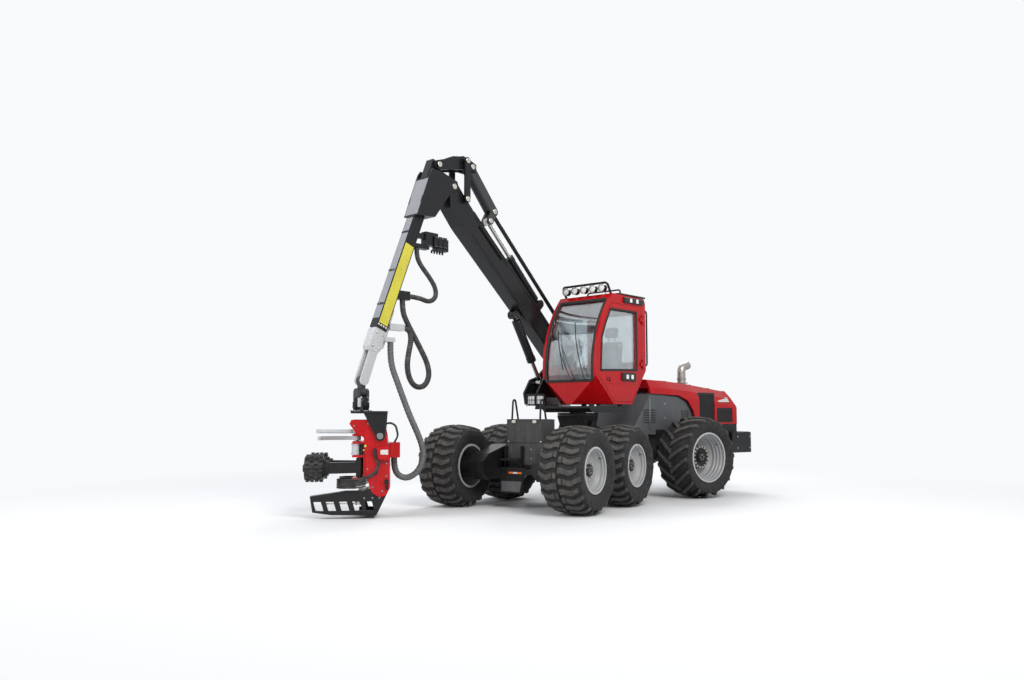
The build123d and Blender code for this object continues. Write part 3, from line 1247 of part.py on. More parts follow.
def saw_bar():
    """Guide bar of the saw, folded along the left side of its box."""
    y = SAW_Y
    bar_shape = block((SAW_X, 500), (y - 45, y + 45), (210, 222)) + post(500, y, 45, (210, 222))
    bar_shape += post(SAW_X, y, 60, (200, 325))
    return bar_shape - post(SAW_X, y, ARM_PIN + PIN_FIT, (199, 326))


def hose(points, radius):
    """Hose through hand-set points, each arc as large as its two runs allow."""
    p = [Vector(*q) for q in points]
    radii = []
    for a, b, c in zip(p, p[1:], p[2:]):
        turn = (b - a).get_angle(c - b)
        shorter = min((b - a).length, (c - b).length)
        radii.append(0.45 * shorter / tan(radians(turn / 2)))
    path = FilletPolyline(*p, radius=radii)
    tube = sweep(Plane(origin=path @ 0, z_dir=path % 0) * Circle(radius), path=path)
    print("hose", radius, [round(r) for r in radii], round(tube.volume / (3.14159 * radius ** 2 * path.length), 4))
    return tube


def hose_short():
    return hose(HOSE_A, HOSE_RADII[0])


def hose_loop():
    return hose(HOSE_B, HOSE_RADII[1])


def hose_head():
    return hose(HOSE_C, HOSE_RADII[2])


# Each node, the function that makes it and the frame that it stands in
PIECES = [
    ("front_frame", front_frame, FRONT),
    ("tool_box", tool_box, FRONT),
    ("ladder", ladder, FRONT),
    ("bogie_left", lambda: bogie(1), FRONT),
    ("bogie_right", lambda: bogie(-1), FRONT),
    ("rear_frame", rear_frame, REAR),
    ("rear_axle", rear_axle, REAR),
    ("engine_hood", engine_hood, REAR),
    ("side_panels", side_panels, REAR),
    ("grilles", grilles, REAR),
    ("counterweight", counterweight, REAR),
    ("exhaust_stack", exhaust_stack, REAR),
    ("engine_block", engine_block, REAR),
    ("levelling_frame", levelling_frame, SLEW),
    ("slew_platform", slew_platform, TURRET),
    ("cab_shell", cab_shell, TURRET),
    ("cab_windows", cab_windows, TURRET),
    ("cab_door", cab_door, TURRET),
    ("door_window", door_window, TURRET),
    ("seat", seat, TURRET),
    ("lamp_bar", lamp_bar, TURRET),
    ("main_boom", main_boom, TURRET),
    ("jib", jib, TURRET),
    ("jib_extension", jib_extension, TURRET),
    ("top_link", top_link, TURRET),
    ("rocker", rocker, TURRET),
    ("push_link", push_link, TURRET),
    ("stay", stay, TURRET),
    ("jib_ram_barrel", lambda: ram_barrel(RAM_FOOT, RAM_EYE, RAM_SHARE, RAM_RADIUS), TURRET),
    ("jib_ram_rod", lambda: ram_rod(RAM_FOOT, RAM_EYE, RAM_ROD_START, EYE_HALF + CLEAR - 1), TURRET),
    ("lift_ram_barrel", lambda: ram_barrel(LIFT_EYE, LIFT_FOOT, LIFT_SHARE, LIFT_RADIUS), TURRET),
    ("lift_ram_rod", lambda: ram_rod(LIFT_EYE, LIFT_FOOT, LIFT_ROD_START, BOOM_HALF + CLEAR - 1), TURRET),
    ("valve_boxes", valve_boxes, TURRET),
    ("hanger_link", hanger_link, TURRET),
    ("rotator", rotator, TURRET),
    ("tilt_bracket", tilt_bracket, HEAD),
    ("head_frame", head_frame, HEAD),
    ("saw_box", saw_box, HEAD),
    ("saw_bar", saw_bar, HEAD),
    ("knife_left", lambda: knife(1), HEAD),
    ("knife_right", lambda: knife(-1), HEAD),
    ("feed_arm_left", lambda: feed_arm(1), HEAD),
    ("feed_arm_right", lambda: feed_arm(-1), HEAD),
    ("feed_roller_left", lambda: feed_roller(1), HEAD),
    ("feed_roller_right", lambda: feed_roller(-1), HEAD),
    ("hose_short", hose_short, TURRET),
    ("hose_loop", hose_loop, TURRET),
    ("hose_head", hose_head, HEAD),
]

# Each wheel: name, place along its frame, side, radius, rim radius, its rim, the frame
WHEELS = [
    ("front_left", FLOTATION_TREAD, BOGIE_BASE / 2, 1, FRONT_RADIUS, FRONT_RIM, front_rim, FRONT),
    ("front_right", FLOTATION_TREAD, BOGIE_BASE / 2, -1, FRONT_RADIUS, FRONT_RIM, front_rim, FRONT),
    ("middle_left", FLOTATION_TREAD, -BOGIE_BASE / 2, 1, FRONT_RADIUS, FRONT_RIM, front_rim, FRONT),
    ("middle_right", FLOTATION_TREAD, -BOGIE_BASE / 2, -1, FRONT_RADIUS, FRONT_RIM, front_rim, FRONT),
    ("rear_left", TRACTION_TREAD, REAR_AXLE_X, 1, REAR_RADIUS, REAR_RIM, rear_rim, REAR),
    ("rear_right", TRACTION_TREAD, REAR_AXLE_X, -1, REAR_RADIUS, REAR_RIM, rear_rim, REAR),
]


def main():
    """Build every node and write it as a STEP file."""
    os.makedirs("parts", exist_ok=True)
    for name, make, frame in PIECES:
        export_step(frame * make(), f"parts/{name}.step")
    tyres = {}
    for name, tread, x, side, radius, rim_radius, make_rim, frame in WHEELS:
        if radius not in tyres:
            tyres[radius] = tyre(radius, rim_radius, tread)
        tyre_shape = placed_wheel(tyres[radius], x, radius, side)
        rim_shape = placed_wheel(make_rim(), x, radius, side)
        export_step(frame * tyre_shape, f"parts/tyre_{name}.step")
        export_step(frame * rim_shape, f"parts/rim_{name}.step")


if __name__ == "__main__":
    main()
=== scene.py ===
# %% [markdown]
# # A wheeled forestry harvester, dressed for its picture
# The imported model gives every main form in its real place. This lesson adds what a
# maker sees from a step away: tread, rims, seals, lamps, pins, hoses and paint that
# has been used. The frame is loaded first, because every piece rides on one of its bodies.

# %% Load the frame
import math
import bmesh
import bpy
import numpy as np
from mathutils import Matrix


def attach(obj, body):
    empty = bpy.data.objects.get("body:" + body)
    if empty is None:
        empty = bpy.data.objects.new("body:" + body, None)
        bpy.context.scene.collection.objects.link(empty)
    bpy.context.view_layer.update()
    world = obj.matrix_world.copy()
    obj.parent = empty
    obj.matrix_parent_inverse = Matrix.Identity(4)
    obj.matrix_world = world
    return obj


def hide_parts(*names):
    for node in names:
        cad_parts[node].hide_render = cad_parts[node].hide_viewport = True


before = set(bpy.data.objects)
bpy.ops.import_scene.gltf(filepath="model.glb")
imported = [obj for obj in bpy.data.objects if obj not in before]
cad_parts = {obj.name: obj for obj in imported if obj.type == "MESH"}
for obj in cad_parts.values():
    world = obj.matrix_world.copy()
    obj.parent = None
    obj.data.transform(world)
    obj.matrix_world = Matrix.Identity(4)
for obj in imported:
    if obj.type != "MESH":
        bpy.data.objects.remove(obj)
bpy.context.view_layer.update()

# %% [markdown]
# The machine bends and turns, so each part of it has its own straight frame: the front
# frame, the rear frame behind the centre joint, the slewing part with cab and crane, and
# the felling head. A piece is drawn in the frame where its sides are square, in metres,
# and one 4 by 4 matrix then puts it in the machine.


# %% Frames of the machine
def pose(shift, turn=0.0):
    """Matrix that turns about the upright axis by an angle in degrees and then shifts."""
    c, s = math.cos(math.radians(turn)), math.sin(math.radians(turn))
    matrix = np.eye(4)
    matrix[:2, :2] = [[c, -s], [s, c]]
    matrix[:3, 3] = shift
    return matrix


REAR_TURN, TURRET_TURN, HEAD_TURN = -20, -10, -40
CRANE_Y = -0.750
FRONT = pose((0.915, 0.045, 0))
REAR = FRONT @ pose((-1.5, 0, 0), REAR_TURN)
TURRET = FRONT @ pose((-1.4, 0, 0), TURRET_TURN)
HEAD = TURRET @ pose((4.310, CRANE_Y, 0), HEAD_TURN)
SIDES = ((1, "left"), (-1, "right"))


def to_side(side):
    """Matrix that leaves a drawing of the left side as it is, and mirrors it to the right for -1."""
    return np.diag([1.0, side, 1.0, 1.0])


ACROSS = to_side(-1)
ABOUT = np.diag([-1.0, 1, 1, 1])
print("the rear frame is turned by", REAR_TURN, "degrees, cab and crane by", TURRET_TURN)

# %% [markdown]
# The camera stands where the photographer stood, low and in front of the left wheels.
# Its place came from fitting the wheels, cab and hood to the picture, so it is typed in
# as a real place and a real lens.

# %% Camera
CAMERA_AT = (13.049, 7.333, 1.513)
CAMERA_YAW, CAMERA_PITCH = 212.783, 5.101
LENS_MM, SENSOR_MM = 29.43, 36.0
lens = bpy.data.cameras.new("camera")
lens.lens = LENS_MM
lens.sensor_width = SENSOR_MM
lens.clip_end = 200.0
camera = bpy.data.objects.new("camera", lens)
camera.location = CAMERA_AT
camera.rotation_euler = (math.radians(90 + CAMERA_PITCH), 0, math.radians(CAMERA_YAW - 90))
bpy.context.scene.collection.objects.link(camera)
bpy.context.scene.camera = camera
print("camera at", CAMERA_AT)

# %% [markdown]
# Every new piece is a surface worked out with whole arrays. A shape here is a table of
# points and a few tables of faces that point into it, so shapes can be moved, repeated
# and joined by adding to arrays, and only the last step makes a Blender mesh.


# %% Shapes from grids of points
def grid(points, round_rows=False, round_columns=False):
    """Shape over a grid of points (rows, columns, 3): a quad between each two rows and columns."""
    rows, columns = points.shape[:2]
    index = np.arange(rows * columns).reshape(rows, columns)
    if round_rows:
        index = np.vstack([index, index[:1]])
    if round_columns:
        index = np.hstack([index, index[:, :1]])
    quads = np.stack([index[:-1, :-1], index[1:, :-1], index[1:, 1:], index[:-1, 1:]], -1)
    return points.reshape(-1, 3), [quads.reshape(-1, 4)]


def join(*shapes):
    """One shape from several: points one after the other, face numbers moved up to match."""
    starts = np.cumsum([0] + [len(points) for points, _ in shapes])
    faces = [table + start for (_, tables), start in zip(shapes, starts) for table in tables]
    return np.concatenate([points for points, _ in shapes]), faces


def copies(shape, matrices):
    """The shape once for each matrix: every point times every matrix, in one product."""
    points, tables = shape
    matrices = np.asarray(matrices, float).reshape(-1, 4, 4)
    moved = np.einsum("kij,nj->kni", matrices[:, :3, :3], points) + matrices[:, None, :3, 3]
    step = np.arange(len(matrices))[:, None, None] * len(points)
    return moved.reshape(-1, 3), [(table[None] + step).reshape(-1, table.shape[1]) for table in tables]


def stand(places, toward, about=0.0):
    """Matrices that carry local +Z to a direction at each place, turned about it by an angle."""
    places = np.atleast_2d(np.asarray(places, float))
    z = np.broadcast_to(np.asarray(toward, float), places.shape)
    z = z / np.linalg.norm(z, axis=1, keepdims=True)
    side = np.where(np.abs(z[:, 2:]) > 0.9, [[1.0, 0, 0]], [[0, 0, 1.0]])
    x = np.cross(side, z)
    x /= np.linalg.norm(x, axis=1, keepdims=True)
    y = np.cross(z, x)
    c, s = math.cos(about), math.sin(about)
    out = np.tile(np.eye(4), (len(places), 1, 1))
    out[:, :3, :4] = np.stack([c * x + s * y, c * y - s * x, z, places], -1)
    return out


# %% Profiles turned round, pressed out and carried along a path
def closed(shape):
    """The same shape with equal points made one, so that seams and poles are shut."""
    points, tables = shape
    _, first, same = np.unique(np.round(points, 6), axis=0, return_index=True, return_inverse=True)
    out = []
    for table in tables:
        table = same.reshape(-1)[table]
        if table.shape[1] != 4:
            out.append(table)
            continue
        flat = [table[:, k] == table[:, (k + 1) % 4] for k in range(4)]
        out.append(table[~np.any(flat, axis=0)])
        for k in range(4):
            narrow = table[flat[k] & ~flat[(k + 2) % 4]]
            out.append(narrow[:, [k, (k + 2) % 4, (k + 3) % 4]])
    return points[first], [table for table in out if len(table)]


def spun(profile, sides):
    """Grid of points: a profile of (height, radius) pairs at each angle about the local Z axis."""
    height, radius = np.asarray(profile, float).T
    angle = np.linspace(0, 2 * np.pi, sides, endpoint=False)[:, None]
    return np.stack([radius * np.cos(angle), radius * np.sin(angle), height + 0 * angle], -1)


def turned(profile, sides=32):
    """Profile of (height, radius) pairs turned round the local Z axis and shut where it meets it."""
    return closed(grid(spun(profile, sides), round_rows=True))


def oblong(x, y):
    """Corners of a rectangle between two (low, high) pairs, taken anticlockwise."""
    return [(x[0], y[0]), (x[1], y[0]), (x[1], y[1]), (x[0], y[1])]


def anticlockwise(outline):
    """The same outline, taken the other way round where its area comes out negative."""
    outline = np.asarray(outline, float)
    area = np.sum(outline[:, 0] * np.roll(outline[:, 1], -1) - outline[:, 1] * np.roll(outline[:, 0], -1))
    return outline if area > 0 else outline[::-1]


def inset(outline, distance):
    """Outline moved inwards: each corner slides along the mitre of its two edges."""
    before, after = outline - np.roll(outline, 1, 0), np.roll(outline, -1, 0) - outline
    left = [np.stack([-e[:, 1], e[:, 0]], 1) / np.linalg.norm(e, axis=1)[:, None] for e in (before, after)]
    mitre = (left[0] + left[1]) / (1 + np.sum(left[0] * left[1], 1))[:, None]
    return outline + distance * mitre


def bends(before, corners, after, radius, steps):
    """Curve at each corner, (1-t)^2 a + 2t(1-t) corner + t^2 b, with a and b a radius from the corner."""
    a, b = [corners + (ends - corners) / np.linalg.norm(ends - corners, axis=1)[:, None] * radius
            for ends in (before, after)]
    t = np.linspace(0, 1, steps + 1)[None, :, None]
    return (1 - t) ** 2 * a[:, None] + 2 * t * (1 - t) * corners[:, None] + t ** 2 * b[:, None]


def rounded(outline, radius, steps=4):
    """Outline whose corners are curves from one edge to the next, each starting a radius away."""
    outline = np.asarray(outline, float)
    return bends(np.roll(outline, 1, 0), outline, np.roll(outline, -1, 0), radius, steps).reshape(-1, 2)


def slab(outline, thick, edge=0.003):
    """Plate with a closed outline in XY, from z = 0 to its thickness, its rims chamfered."""
    outline, edge = anticlockwise(outline), min(edge, thick * 0.45)
    small = inset(outline, edge)
    rings = [(small, 0.0), (outline, edge), (outline, thick - edge), (small, thick)]
    points = np.stack([np.column_stack([ring, np.full(len(ring), z)]) for ring, z in rings])
    shape, n = grid(points, round_columns=True), len(outline)
    caps = np.array([np.arange(n)[::-1], np.arange(n) + 3 * n])
    return shape[0], shape[1] + [caps]


def rounded_plate(outline, radius, thick, edge=0.003):
    """Plate with rounded corners and chamfered rims, from z = 0 to its thickness."""
    return slab(rounded(outline, radius), thick, edge)


def block(x, y, z, edge=0.004):
    """Box between three (low, high) pairs, its rims chamfered."""
    points, tables = slab(oblong(x, y), z[1] - z[0], edge)
    return points + [0, 0, z[0]], tables


def tube(path, radius, sides=12, up=(0, 0, 1)):
    """Round section carried along a path: at each place it stands square to the path's direction."""
    path = np.asarray(path, float)
    along = np.gradient(path, axis=0)
    along /= np.linalg.norm(along, axis=1, keepdims=True)
    side = np.cross(along, up)
    side /= np.linalg.norm(side, axis=1, keepdims=True)
    over = np.cross(side, along)
    angle = np.linspace(0, 2 * np.pi, sides, endpoint=False)
    radius = np.broadcast_to(np.asarray(radius, float), (len(path), sides))
    ring = side[:, None] * np.cos(angle)[None, :, None] + over[:, None] * np.sin(angle)[None, :, None]
    points = path[:, None] + ring * radius[:, :, None]
    shape = grid(points, round_columns=True)
    last = len(path) * sides - sides
    caps = np.array([np.arange(sides)[::-1], np.arange(sides) + last])
    return shape[0], shape[1] + [caps]


def smooth_path(corners, radius, steps=6):
    """Path through corners, with a curve from a radius before each corner to a radius after it."""
    corners = np.asarray(corners, float)
    curve = bends(corners[:-2], corners[1:-1], corners[2:], radius, steps)
    return np.vstack([corners[:1], curve.reshape(-1, 3), corners[-1:]])


# %% From arrays to an object that rides on a body
added = []


def piece(name, shape, body, material, sharp=32.0, replaces=(), tread=None):
    """Object from a shape: faces turned outwards, smooth up to an angle, riding on its body."""
    points, tables = shape
    mesh = bpy.data.meshes.new(name)
    widths = np.concatenate([np.full(len(table), table.shape[1]) for table in tables])
    corners = np.concatenate([table.reshape(-1) for table in tables])
    mesh.vertices.add(len(points))
    mesh.vertices.foreach_set("co", points.astype(np.float32).reshape(-1))
    mesh.loops.add(len(corners))
    mesh.loops.foreach_set("vertex_index", corners.astype(np.int32))
    mesh.polygons.add(len(widths))
    mesh.polygons.foreach_set("loop_start", np.concatenate([[0], np.cumsum(widths)[:-1]]).astype(np.int32))
    mesh.update(calc_edges=True)
    mesh.validate()
    shell = bmesh.new()
    shell.from_mesh(mesh)
    bmesh.ops.recalc_face_normals(shell, faces=shell.faces)
    shell.to_mesh(mesh)
    shell.free()
    if tread is not None:
        mesh.attributes.new("tread", "FLOAT", "POINT").data.foreach_set("value", tread.astype(np.float32))
    mesh.shade_smooth()
    mesh.set_sharp_from_angle(angle=math.radians(sharp))
    mesh.materials.append(material)
    obj = bpy.data.objects.new(name, mesh)
    bpy.context.scene.collection.objects.link(obj)
    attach(obj, body)
    if replaces:
        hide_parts(*replaces)
    added.append((name, int(np.sum(widths - 2))))
    return obj


# %% [markdown]
# A finish is a short sum of patterns: a base colour, dust that settles low down, and
# small marks. Writing the sums as Python expressions keeps them readable, so one small
# class stands for a value in the node tree, and adding or multiplying it adds the node.


# %% Values and finishes
class Wire:
    """A value in a finish's node tree; sums and products with it add Math nodes."""

    def __init__(self, finish, socket):
        self.finish, self.socket = finish, socket

    def maths(self, operation, a, b):
        return self.finish.node("ShaderNodeMath", {"operation": operation}, {0: a, 1: b})

    def __add__(self, other):
        return self.maths("ADD", self, other)

    def __sub__(self, other):
        return self.maths("SUBTRACT", self, other)

    def __rsub__(self, other):
        return self.maths("SUBTRACT", other, self)

    def __mul__(self, other):
        return self.maths("MULTIPLY", self, other)

    __radd__, __rmul__ = __add__, __mul__

    def step(self, low, high):
        """0 below low, 1 above high, and a smooth change between."""
        settings = {"interpolation_type": "SMOOTHSTEP"}
        inputs = {"Value": self, "From Min": low, "From Max": high}
        return self.finish.node("ShaderNodeMapRange", settings, inputs)


class Finish:
    """A material under construction, with one method that adds any node."""

    def __init__(self, name):
        self.material = bpy.data.materials.new(name)
        self.material.use_nodes = True
        self.tree = self.material.node_tree
        self.tree.nodes.clear()
        self.place = self.node("ShaderNodeTexCoord", output="Object")

    def node(self, kind, settings=None, inputs=None, output=0):
        """Node of a type: its settings first, then the values or links of its sockets."""
        node = self.tree.nodes.new(kind)
        for key, value in (settings or {}).items():
            setattr(node, key, value)
        for key, value in (inputs or {}).items():
            if isinstance(value, Wire):
                self.tree.links.new(value.socket, node.inputs[key])
            else:
                node.inputs[key].default_value = value
        return Wire(self, node.outputs[output])

    def noise(self, scale, detail=3.0, rough=0.55, stretch=(1, 1, 1)):
        """Cloudy pattern on the object's own coordinates, from 0 to 1."""
        where = self.place
        if stretch != (1, 1, 1):
            where = self.node("ShaderNodeMapping", None, {"Vector": where, "Scale": stretch})
        sockets = {"Vector": where, "Scale": scale, "Detail": detail, "Roughness": rough}
        return self.node("ShaderNodeTexNoise", None, sockets)

    def height(self):
        """Height above the ground, in metres."""
        return self.node("ShaderNodeSeparateXYZ", None, {"Vector": self.place}, "Z")

    def mix(self, mask, a, b):
        """Colour a where the mask is 0 and colour b where it is 1."""
        a, b = [c if isinstance(c, Wire) else (*c, 1.0) for c in (a, b)]
        return self.node("ShaderNodeMix", {"data_type": "RGBA"}, {0: mask, 6: a, 7: b}, 2)

    def bump(self, height, depth, strength=1.0):
        """Surface tilt from a height pattern that is so many metres deep."""
        inputs = {"Height": height, "Distance": depth, "Strength": strength}
        return self.node("ShaderNodeBump", None, inputs)

    def done(self, **sockets):
        """Finish the material: one Principled shader with these sockets."""
        names = {key.replace("_", " "): value for key, value in sockets.items()}
        surface = self.node("ShaderNodeBsdfPrincipled", None, names)
        self.node_out(surface)
        return self.material

    def node_out(self, surface):
        """Link a shader to the material's output."""
        out = self.tree.nodes.new("ShaderNodeOutputMaterial")
        self.tree.links.new(surface.socket, out.inputs["Surface"])


# %% [markdown]
# Paint on a working machine is never one colour. Clear gloss varies with handling, dust
# lies thicker towards the ground, and stones chip small spots down to the primer. The
# same recipe makes every paint here, with its own colour, gloss and share of dust.

# %% Paints
DUST = (0.30, 0.255, 0.20)


def paint(name, colour, rough=0.35, dust=0.35, chip=(0.16, 0.15, 0.145), low=0.2, high=2.4,
          coat=0.0, shine=0.35):
    """Paint with slow colour change, streaks, chips and dust that is thicker low down."""
    f = Finish(name)
    cloud = f.noise(2.2, 4.0)
    fine = f.noise(95.0, 2.0, 0.6)
    streak = f.noise(5.0, 4.0, 0.6, (3.0, 3.0, 0.35))
    shade = f.mix((cloud * 0.6 + streak * 0.4).step(0.30, 0.72), [c * 0.84 for c in colour], colour)
    chips = (fine * 0.5 + f.noise(26.0, 3.0, 0.7) * 0.5).step(0.675, 0.70)
    marked = f.mix(chips * 0.8, shade, chip)
    level = 1 - f.height().step(low, high)
    film = (level * 0.75 + 0.25) * (f.noise(9.0, 5.0, 0.65) * 0.6 + streak * 0.4).step(0.36, 0.74)
    dusty = film * dust
    return f.done(
        Base_Color=f.mix(dusty, marked, DUST),
        Roughness=dusty * 0.5 + chips * 0.2 + (cloud * 0.10 + (rough - 0.05)),
        Specular_IOR_Level=shine,
        Coat_Weight=coat,
        Coat_Roughness=0.08,
        Normal=f.bump(fine * 0.3 + f.noise(320.0, 1.0) * 0.4 - chips * 0.8, 0.0006, 0.5),
    )


red_paint = paint("red_paint", (0.45, 0.003, 0.006), rough=0.26, dust=0.035, coat=0.06, shine=0.22,
                  chip=(0.25, 0.02, 0.02))
black_paint = paint("black_paint", (0.008, 0.0085, 0.0095), rough=0.32, dust=0.03, coat=0.06, shine=0.25,
                    chip=(0.09, 0.09, 0.09))
dark_grey_paint = paint("dark_grey_paint", (0.034, 0.036, 0.039), rough=0.42, dust=0.16)
grey_paint = paint("grey_paint", (0.085, 0.092, 0.100), rough=0.40, dust=0.14)
pale_paint = paint("pale_paint", (0.50, 0.51, 0.52), rough=0.40, dust=0.22, chip=(0.28, 0.28, 0.28))
rim_paint = paint("rim_paint", (0.33, 0.34, 0.35), rough=0.38, dust=0.42, low=0.0, high=1.6)
plate_yellow = paint("plate_yellow", (0.60, 0.54, 0.06), rough=0.35, dust=0.05)
black_plastic = paint("black_plastic", (0.022, 0.022, 0.023), rough=0.55, dust=0.16)
seal_rubber = paint("seal_rubber", (0.013, 0.013, 0.014), rough=0.62, dust=0.08)
pale_grey = paint("pale_grey", (0.27, 0.28, 0.30), rough=0.34, dust=0.08)
label_pale = paint("label_pale", (0.62, 0.62, 0.60), rough=0.45, dust=0.10)
print("paints", len(bpy.data.materials))

# %% [markdown]
# Bare metal shows the tool that made it: a brushed part has long thin lines, a rod is
# ground and chromed, and a zinc plated bolt is pale with a warm tint. They differ in
# roughness and in the direction and depth of their lines.

# %% Metals
def metal(name, colour, rough, stretch, grime=0.3, lines=60.0):
    """Metal with fine lines along one direction and grime in patches."""
    f = Finish(name)
    brushed = f.noise(lines, 4.0, 0.7, stretch)
    patch = f.noise(7.0, 4.0, 0.6).step(0.45, 0.75)
    tint = f.mix(brushed.step(0.3, 0.7), [c * 0.82 for c in colour], colour)
    return f.done(
        Base_Color=f.mix(patch * grime, tint, (0.12, 0.10, 0.08)),
        Metallic=1 - patch * grime,
        Roughness=brushed * 0.12 + patch * grime * 0.6 + rough,
        Normal=f.bump(brushed, 0.0003, 0.4),
    )


chrome = metal("chrome_rod", (0.50, 0.50, 0.47), 0.12, (1, 1, 1), grime=0.06)
bare_steel = metal("bare_steel", (0.52, 0.52, 0.53), 0.28, (1, 1, 6), grime=0.35)
zinc = metal("zinc_steel", (0.66, 0.64, 0.58), 0.26, (1, 1, 1), grime=0.20, lines=200.0)
worn_steel = metal("worn_steel", (0.30, 0.30, 0.31), 0.34, (4, 4, 1), grime=0.45)
roller_steel = metal("roller_steel", (0.055, 0.055, 0.056), 0.36, (1, 1, 1), grime=0.3)
stack_steel = metal("stack_steel", (0.42, 0.40, 0.38), 0.30, (1, 1, 1), grime=0.5)
print("paints and metals", len(bpy.data.materials))

# %% [markdown]
# Tyre rubber is dusty brown on the worn tops of its bars and dark in the grooves, so its
# colour follows an attribute that the tyre's own surface carries: 1 on a bar, 0 between.

# %% Rubber, glass, cloth and lamps
def rubber(name):
    """Tyre rubber, pale and brown where the tread stands up, dark elsewhere."""
    f = Finish(name)
    top = f.node("ShaderNodeAttribute", {"attribute_name": "tread"}, output="Fac")
    mud = f.noise(14.0, 5.0, 0.65)
    scuff = f.noise(70.0, 3.0, 0.7)
    side = f.mix(mud.step(0.40, 0.75), (0.012, 0.012, 0.013), (0.034, 0.032, 0.030))
    worn = f.mix(mud.step(0.35, 0.70), (0.046, 0.043, 0.040), (0.088, 0.081, 0.073))
    return f.done(
        Base_Color=f.mix(top.step(0.55, 0.98) * (scuff * 0.4 + 0.7), side, worn),
        Roughness=mud * 0.15 + 0.70,
        Specular_IOR_Level=0.35,
        Normal=f.bump(scuff * 0.6 + mud * 0.4, 0.003, 0.5),
    )


def hose_finish(name, colour, rough):
    """Hose cover with a fine woven print and a film of dust."""
    f = Finish(name)
    weave = f.noise(420.0, 2.0, 0.5)
    dust = f.noise(11.0, 4.0).step(0.45, 0.75) * 0.22
    return f.done(
        Base_Color=f.mix(dust, colour, DUST),
        Roughness=weave * 0.1 + rough,
        Normal=f.bump(weave, 0.0008, 0.5),
    )


def glass(name, tint, alpha):
    """Tinted pane: part see-through, part mirror, with patches of dust."""
    f = Finish(name)
    film = f.noise(6.0, 4.0).step(0.45, 0.8) * 0.10
    clear = f.node("ShaderNodeBsdfTransparent", None, {"Color": (*tint, 1.0)})
    mirror = f.mix(film, [c * 0.92 for c in tint], (0.45, 0.45, 0.44))
    sockets = {"Base Color": mirror, "Roughness": film * 1.5 + 0.03, "Metallic": 1.0}
    gloss = f.node("ShaderNodeBsdfPrincipled", None, sockets)
    facing = f.node("ShaderNodeLayerWeight", None, {"Blend": 0.35}, "Fresnel")
    cloud = f.noise(1.3, 3.0, 0.5, (1.0, 1.0, 0.5)).step(0.42, 0.60)
    share = facing * 0.55 + cloud * 0.12 + film * 0.5 + alpha
    f.node_out(f.node("ShaderNodeMixShader", None, {0: share, 1: clear, 2: gloss}))
    return f.material


def cloth(name, colour):
    """Seat cloth: a fine weave of two crossed bands, with lint and wear."""
    f = Finish(name)
    inputs = {"Vector": f.place, "Scale": 160.0}
    bands = [f.node("ShaderNodeTexWave", {"bands_direction": axis}, inputs) for axis in "XZ"]
    weave = bands[0] * 0.5 + bands[1] * 0.5
    lint = f.noise(60.0, 4.0)
    return f.done(
        Base_Color=f.mix((weave * 0.6 + lint * 0.4).step(0.3, 0.75), [c * 0.6 for c in colour], colour),
        Roughness=lint * 0.1 + 0.82,
        Sheen_Weight=0.3,
        Normal=f.bump(weave, 0.0008, 0.6),
    )


def lens_finish(name, colour, lines=90.0):
    """Moulded lamp lens with fine flutes; a pale colour given here is painted brightness from inside, as the
    lens gives no light.
    """
    f = Finish(name)
    flutes = f.node("ShaderNodeTexWave", {"bands_direction": "Z"}, {"Vector": f.place, "Scale": lines})
    return f.done(
        Base_Color=f.mix(flutes * 0.4 + f.noise(30.0) * 0.2, colour, [c * 0.72 for c in colour]),
        Roughness=flutes * 0.1 + 0.08,
        Coat_Weight=0.6,
        Normal=f.bump(flutes, 0.001, 0.6),
    )


tyre_rubber = rubber("tyre_rubber")
hose_rubber = hose_finish("hose_rubber", (0.020, 0.020, 0.021), 0.50)
hose_grey = hose_finish("hose_grey", (0.090, 0.092, 0.095), 0.55)
cab_glass = glass("cab_glass", (0.93, 0.96, 0.97), 0.075)
seat_fabric = cloth("seat_fabric", (0.24, 0.245, 0.26))
seat_leather = paint("seat_leather", (0.045, 0.045, 0.048), rough=0.55, dust=0.05)
# The pale lenses and diodes are painted as lit from inside.
lamp_lens = lens_finish("lamp_lens", (0.80, 0.81, 0.80))
lamp_led = lens_finish("lamp_led", (0.90, 0.91, 0.90), 240.0)
amber_lens = lens_finish("amber_lens", (0.85, 0.26, 0.01))
orange_reflector = lens_finish("orange_reflector", (0.80, 0.16, 0.01), 300.0)
print("finishes", len(bpy.data.materials))

# %% [markdown]
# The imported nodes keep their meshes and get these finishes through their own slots.

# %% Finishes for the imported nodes
WHEELS = ("front_left", "front_right", "middle_left", "middle_right", "rear_left", "rear_right")
node_finish = {
    "front_frame": dark_grey_paint, "tool_box": dark_grey_paint, "ladder": black_paint,
    "bogie_left": black_paint, "bogie_right": black_paint, "rear_frame": dark_grey_paint,
    "rear_axle": dark_grey_paint, "engine_hood": red_paint, "side_panels": grey_paint,
    "grilles": black_plastic, "counterweight": black_paint, "exhaust_stack": stack_steel,
    "engine_block": grey_paint, "levelling_frame": dark_grey_paint, "slew_platform": black_paint,
    "cab_shell": red_paint, "cab_windows": cab_glass, "cab_door": red_paint, "door_window": cab_glass,
    "seat": seat_fabric, "lamp_bar": black_paint, "main_boom": black_paint, "jib": black_paint,
    "jib_extension": pale_paint, "top_link": black_paint, "rocker": black_paint,
    "push_link": dark_grey_paint, "stay": black_paint, "jib_ram_barrel": black_paint,
    "jib_ram_rod": chrome, "lift_ram_barrel": black_paint, "lift_ram_rod": chrome,
    "valve_boxes": black_paint, "hanger_link": dark_grey_paint, "rotator": dark_grey_paint,
    "tilt_bracket": black_paint, "head_frame": red_paint, "saw_box": black_paint, "saw_bar": bare_steel,
    "knife_left": pale_paint, "knife_right": pale_paint, "feed_arm_left": black_paint,
    "feed_arm_right": black_paint, "feed_roller_left": roller_steel, "feed_roller_right": roller_steel,
    "hose_short": hose_rubber, "hose_loop": hose_rubber, "hose_head": hose_rubber,
}
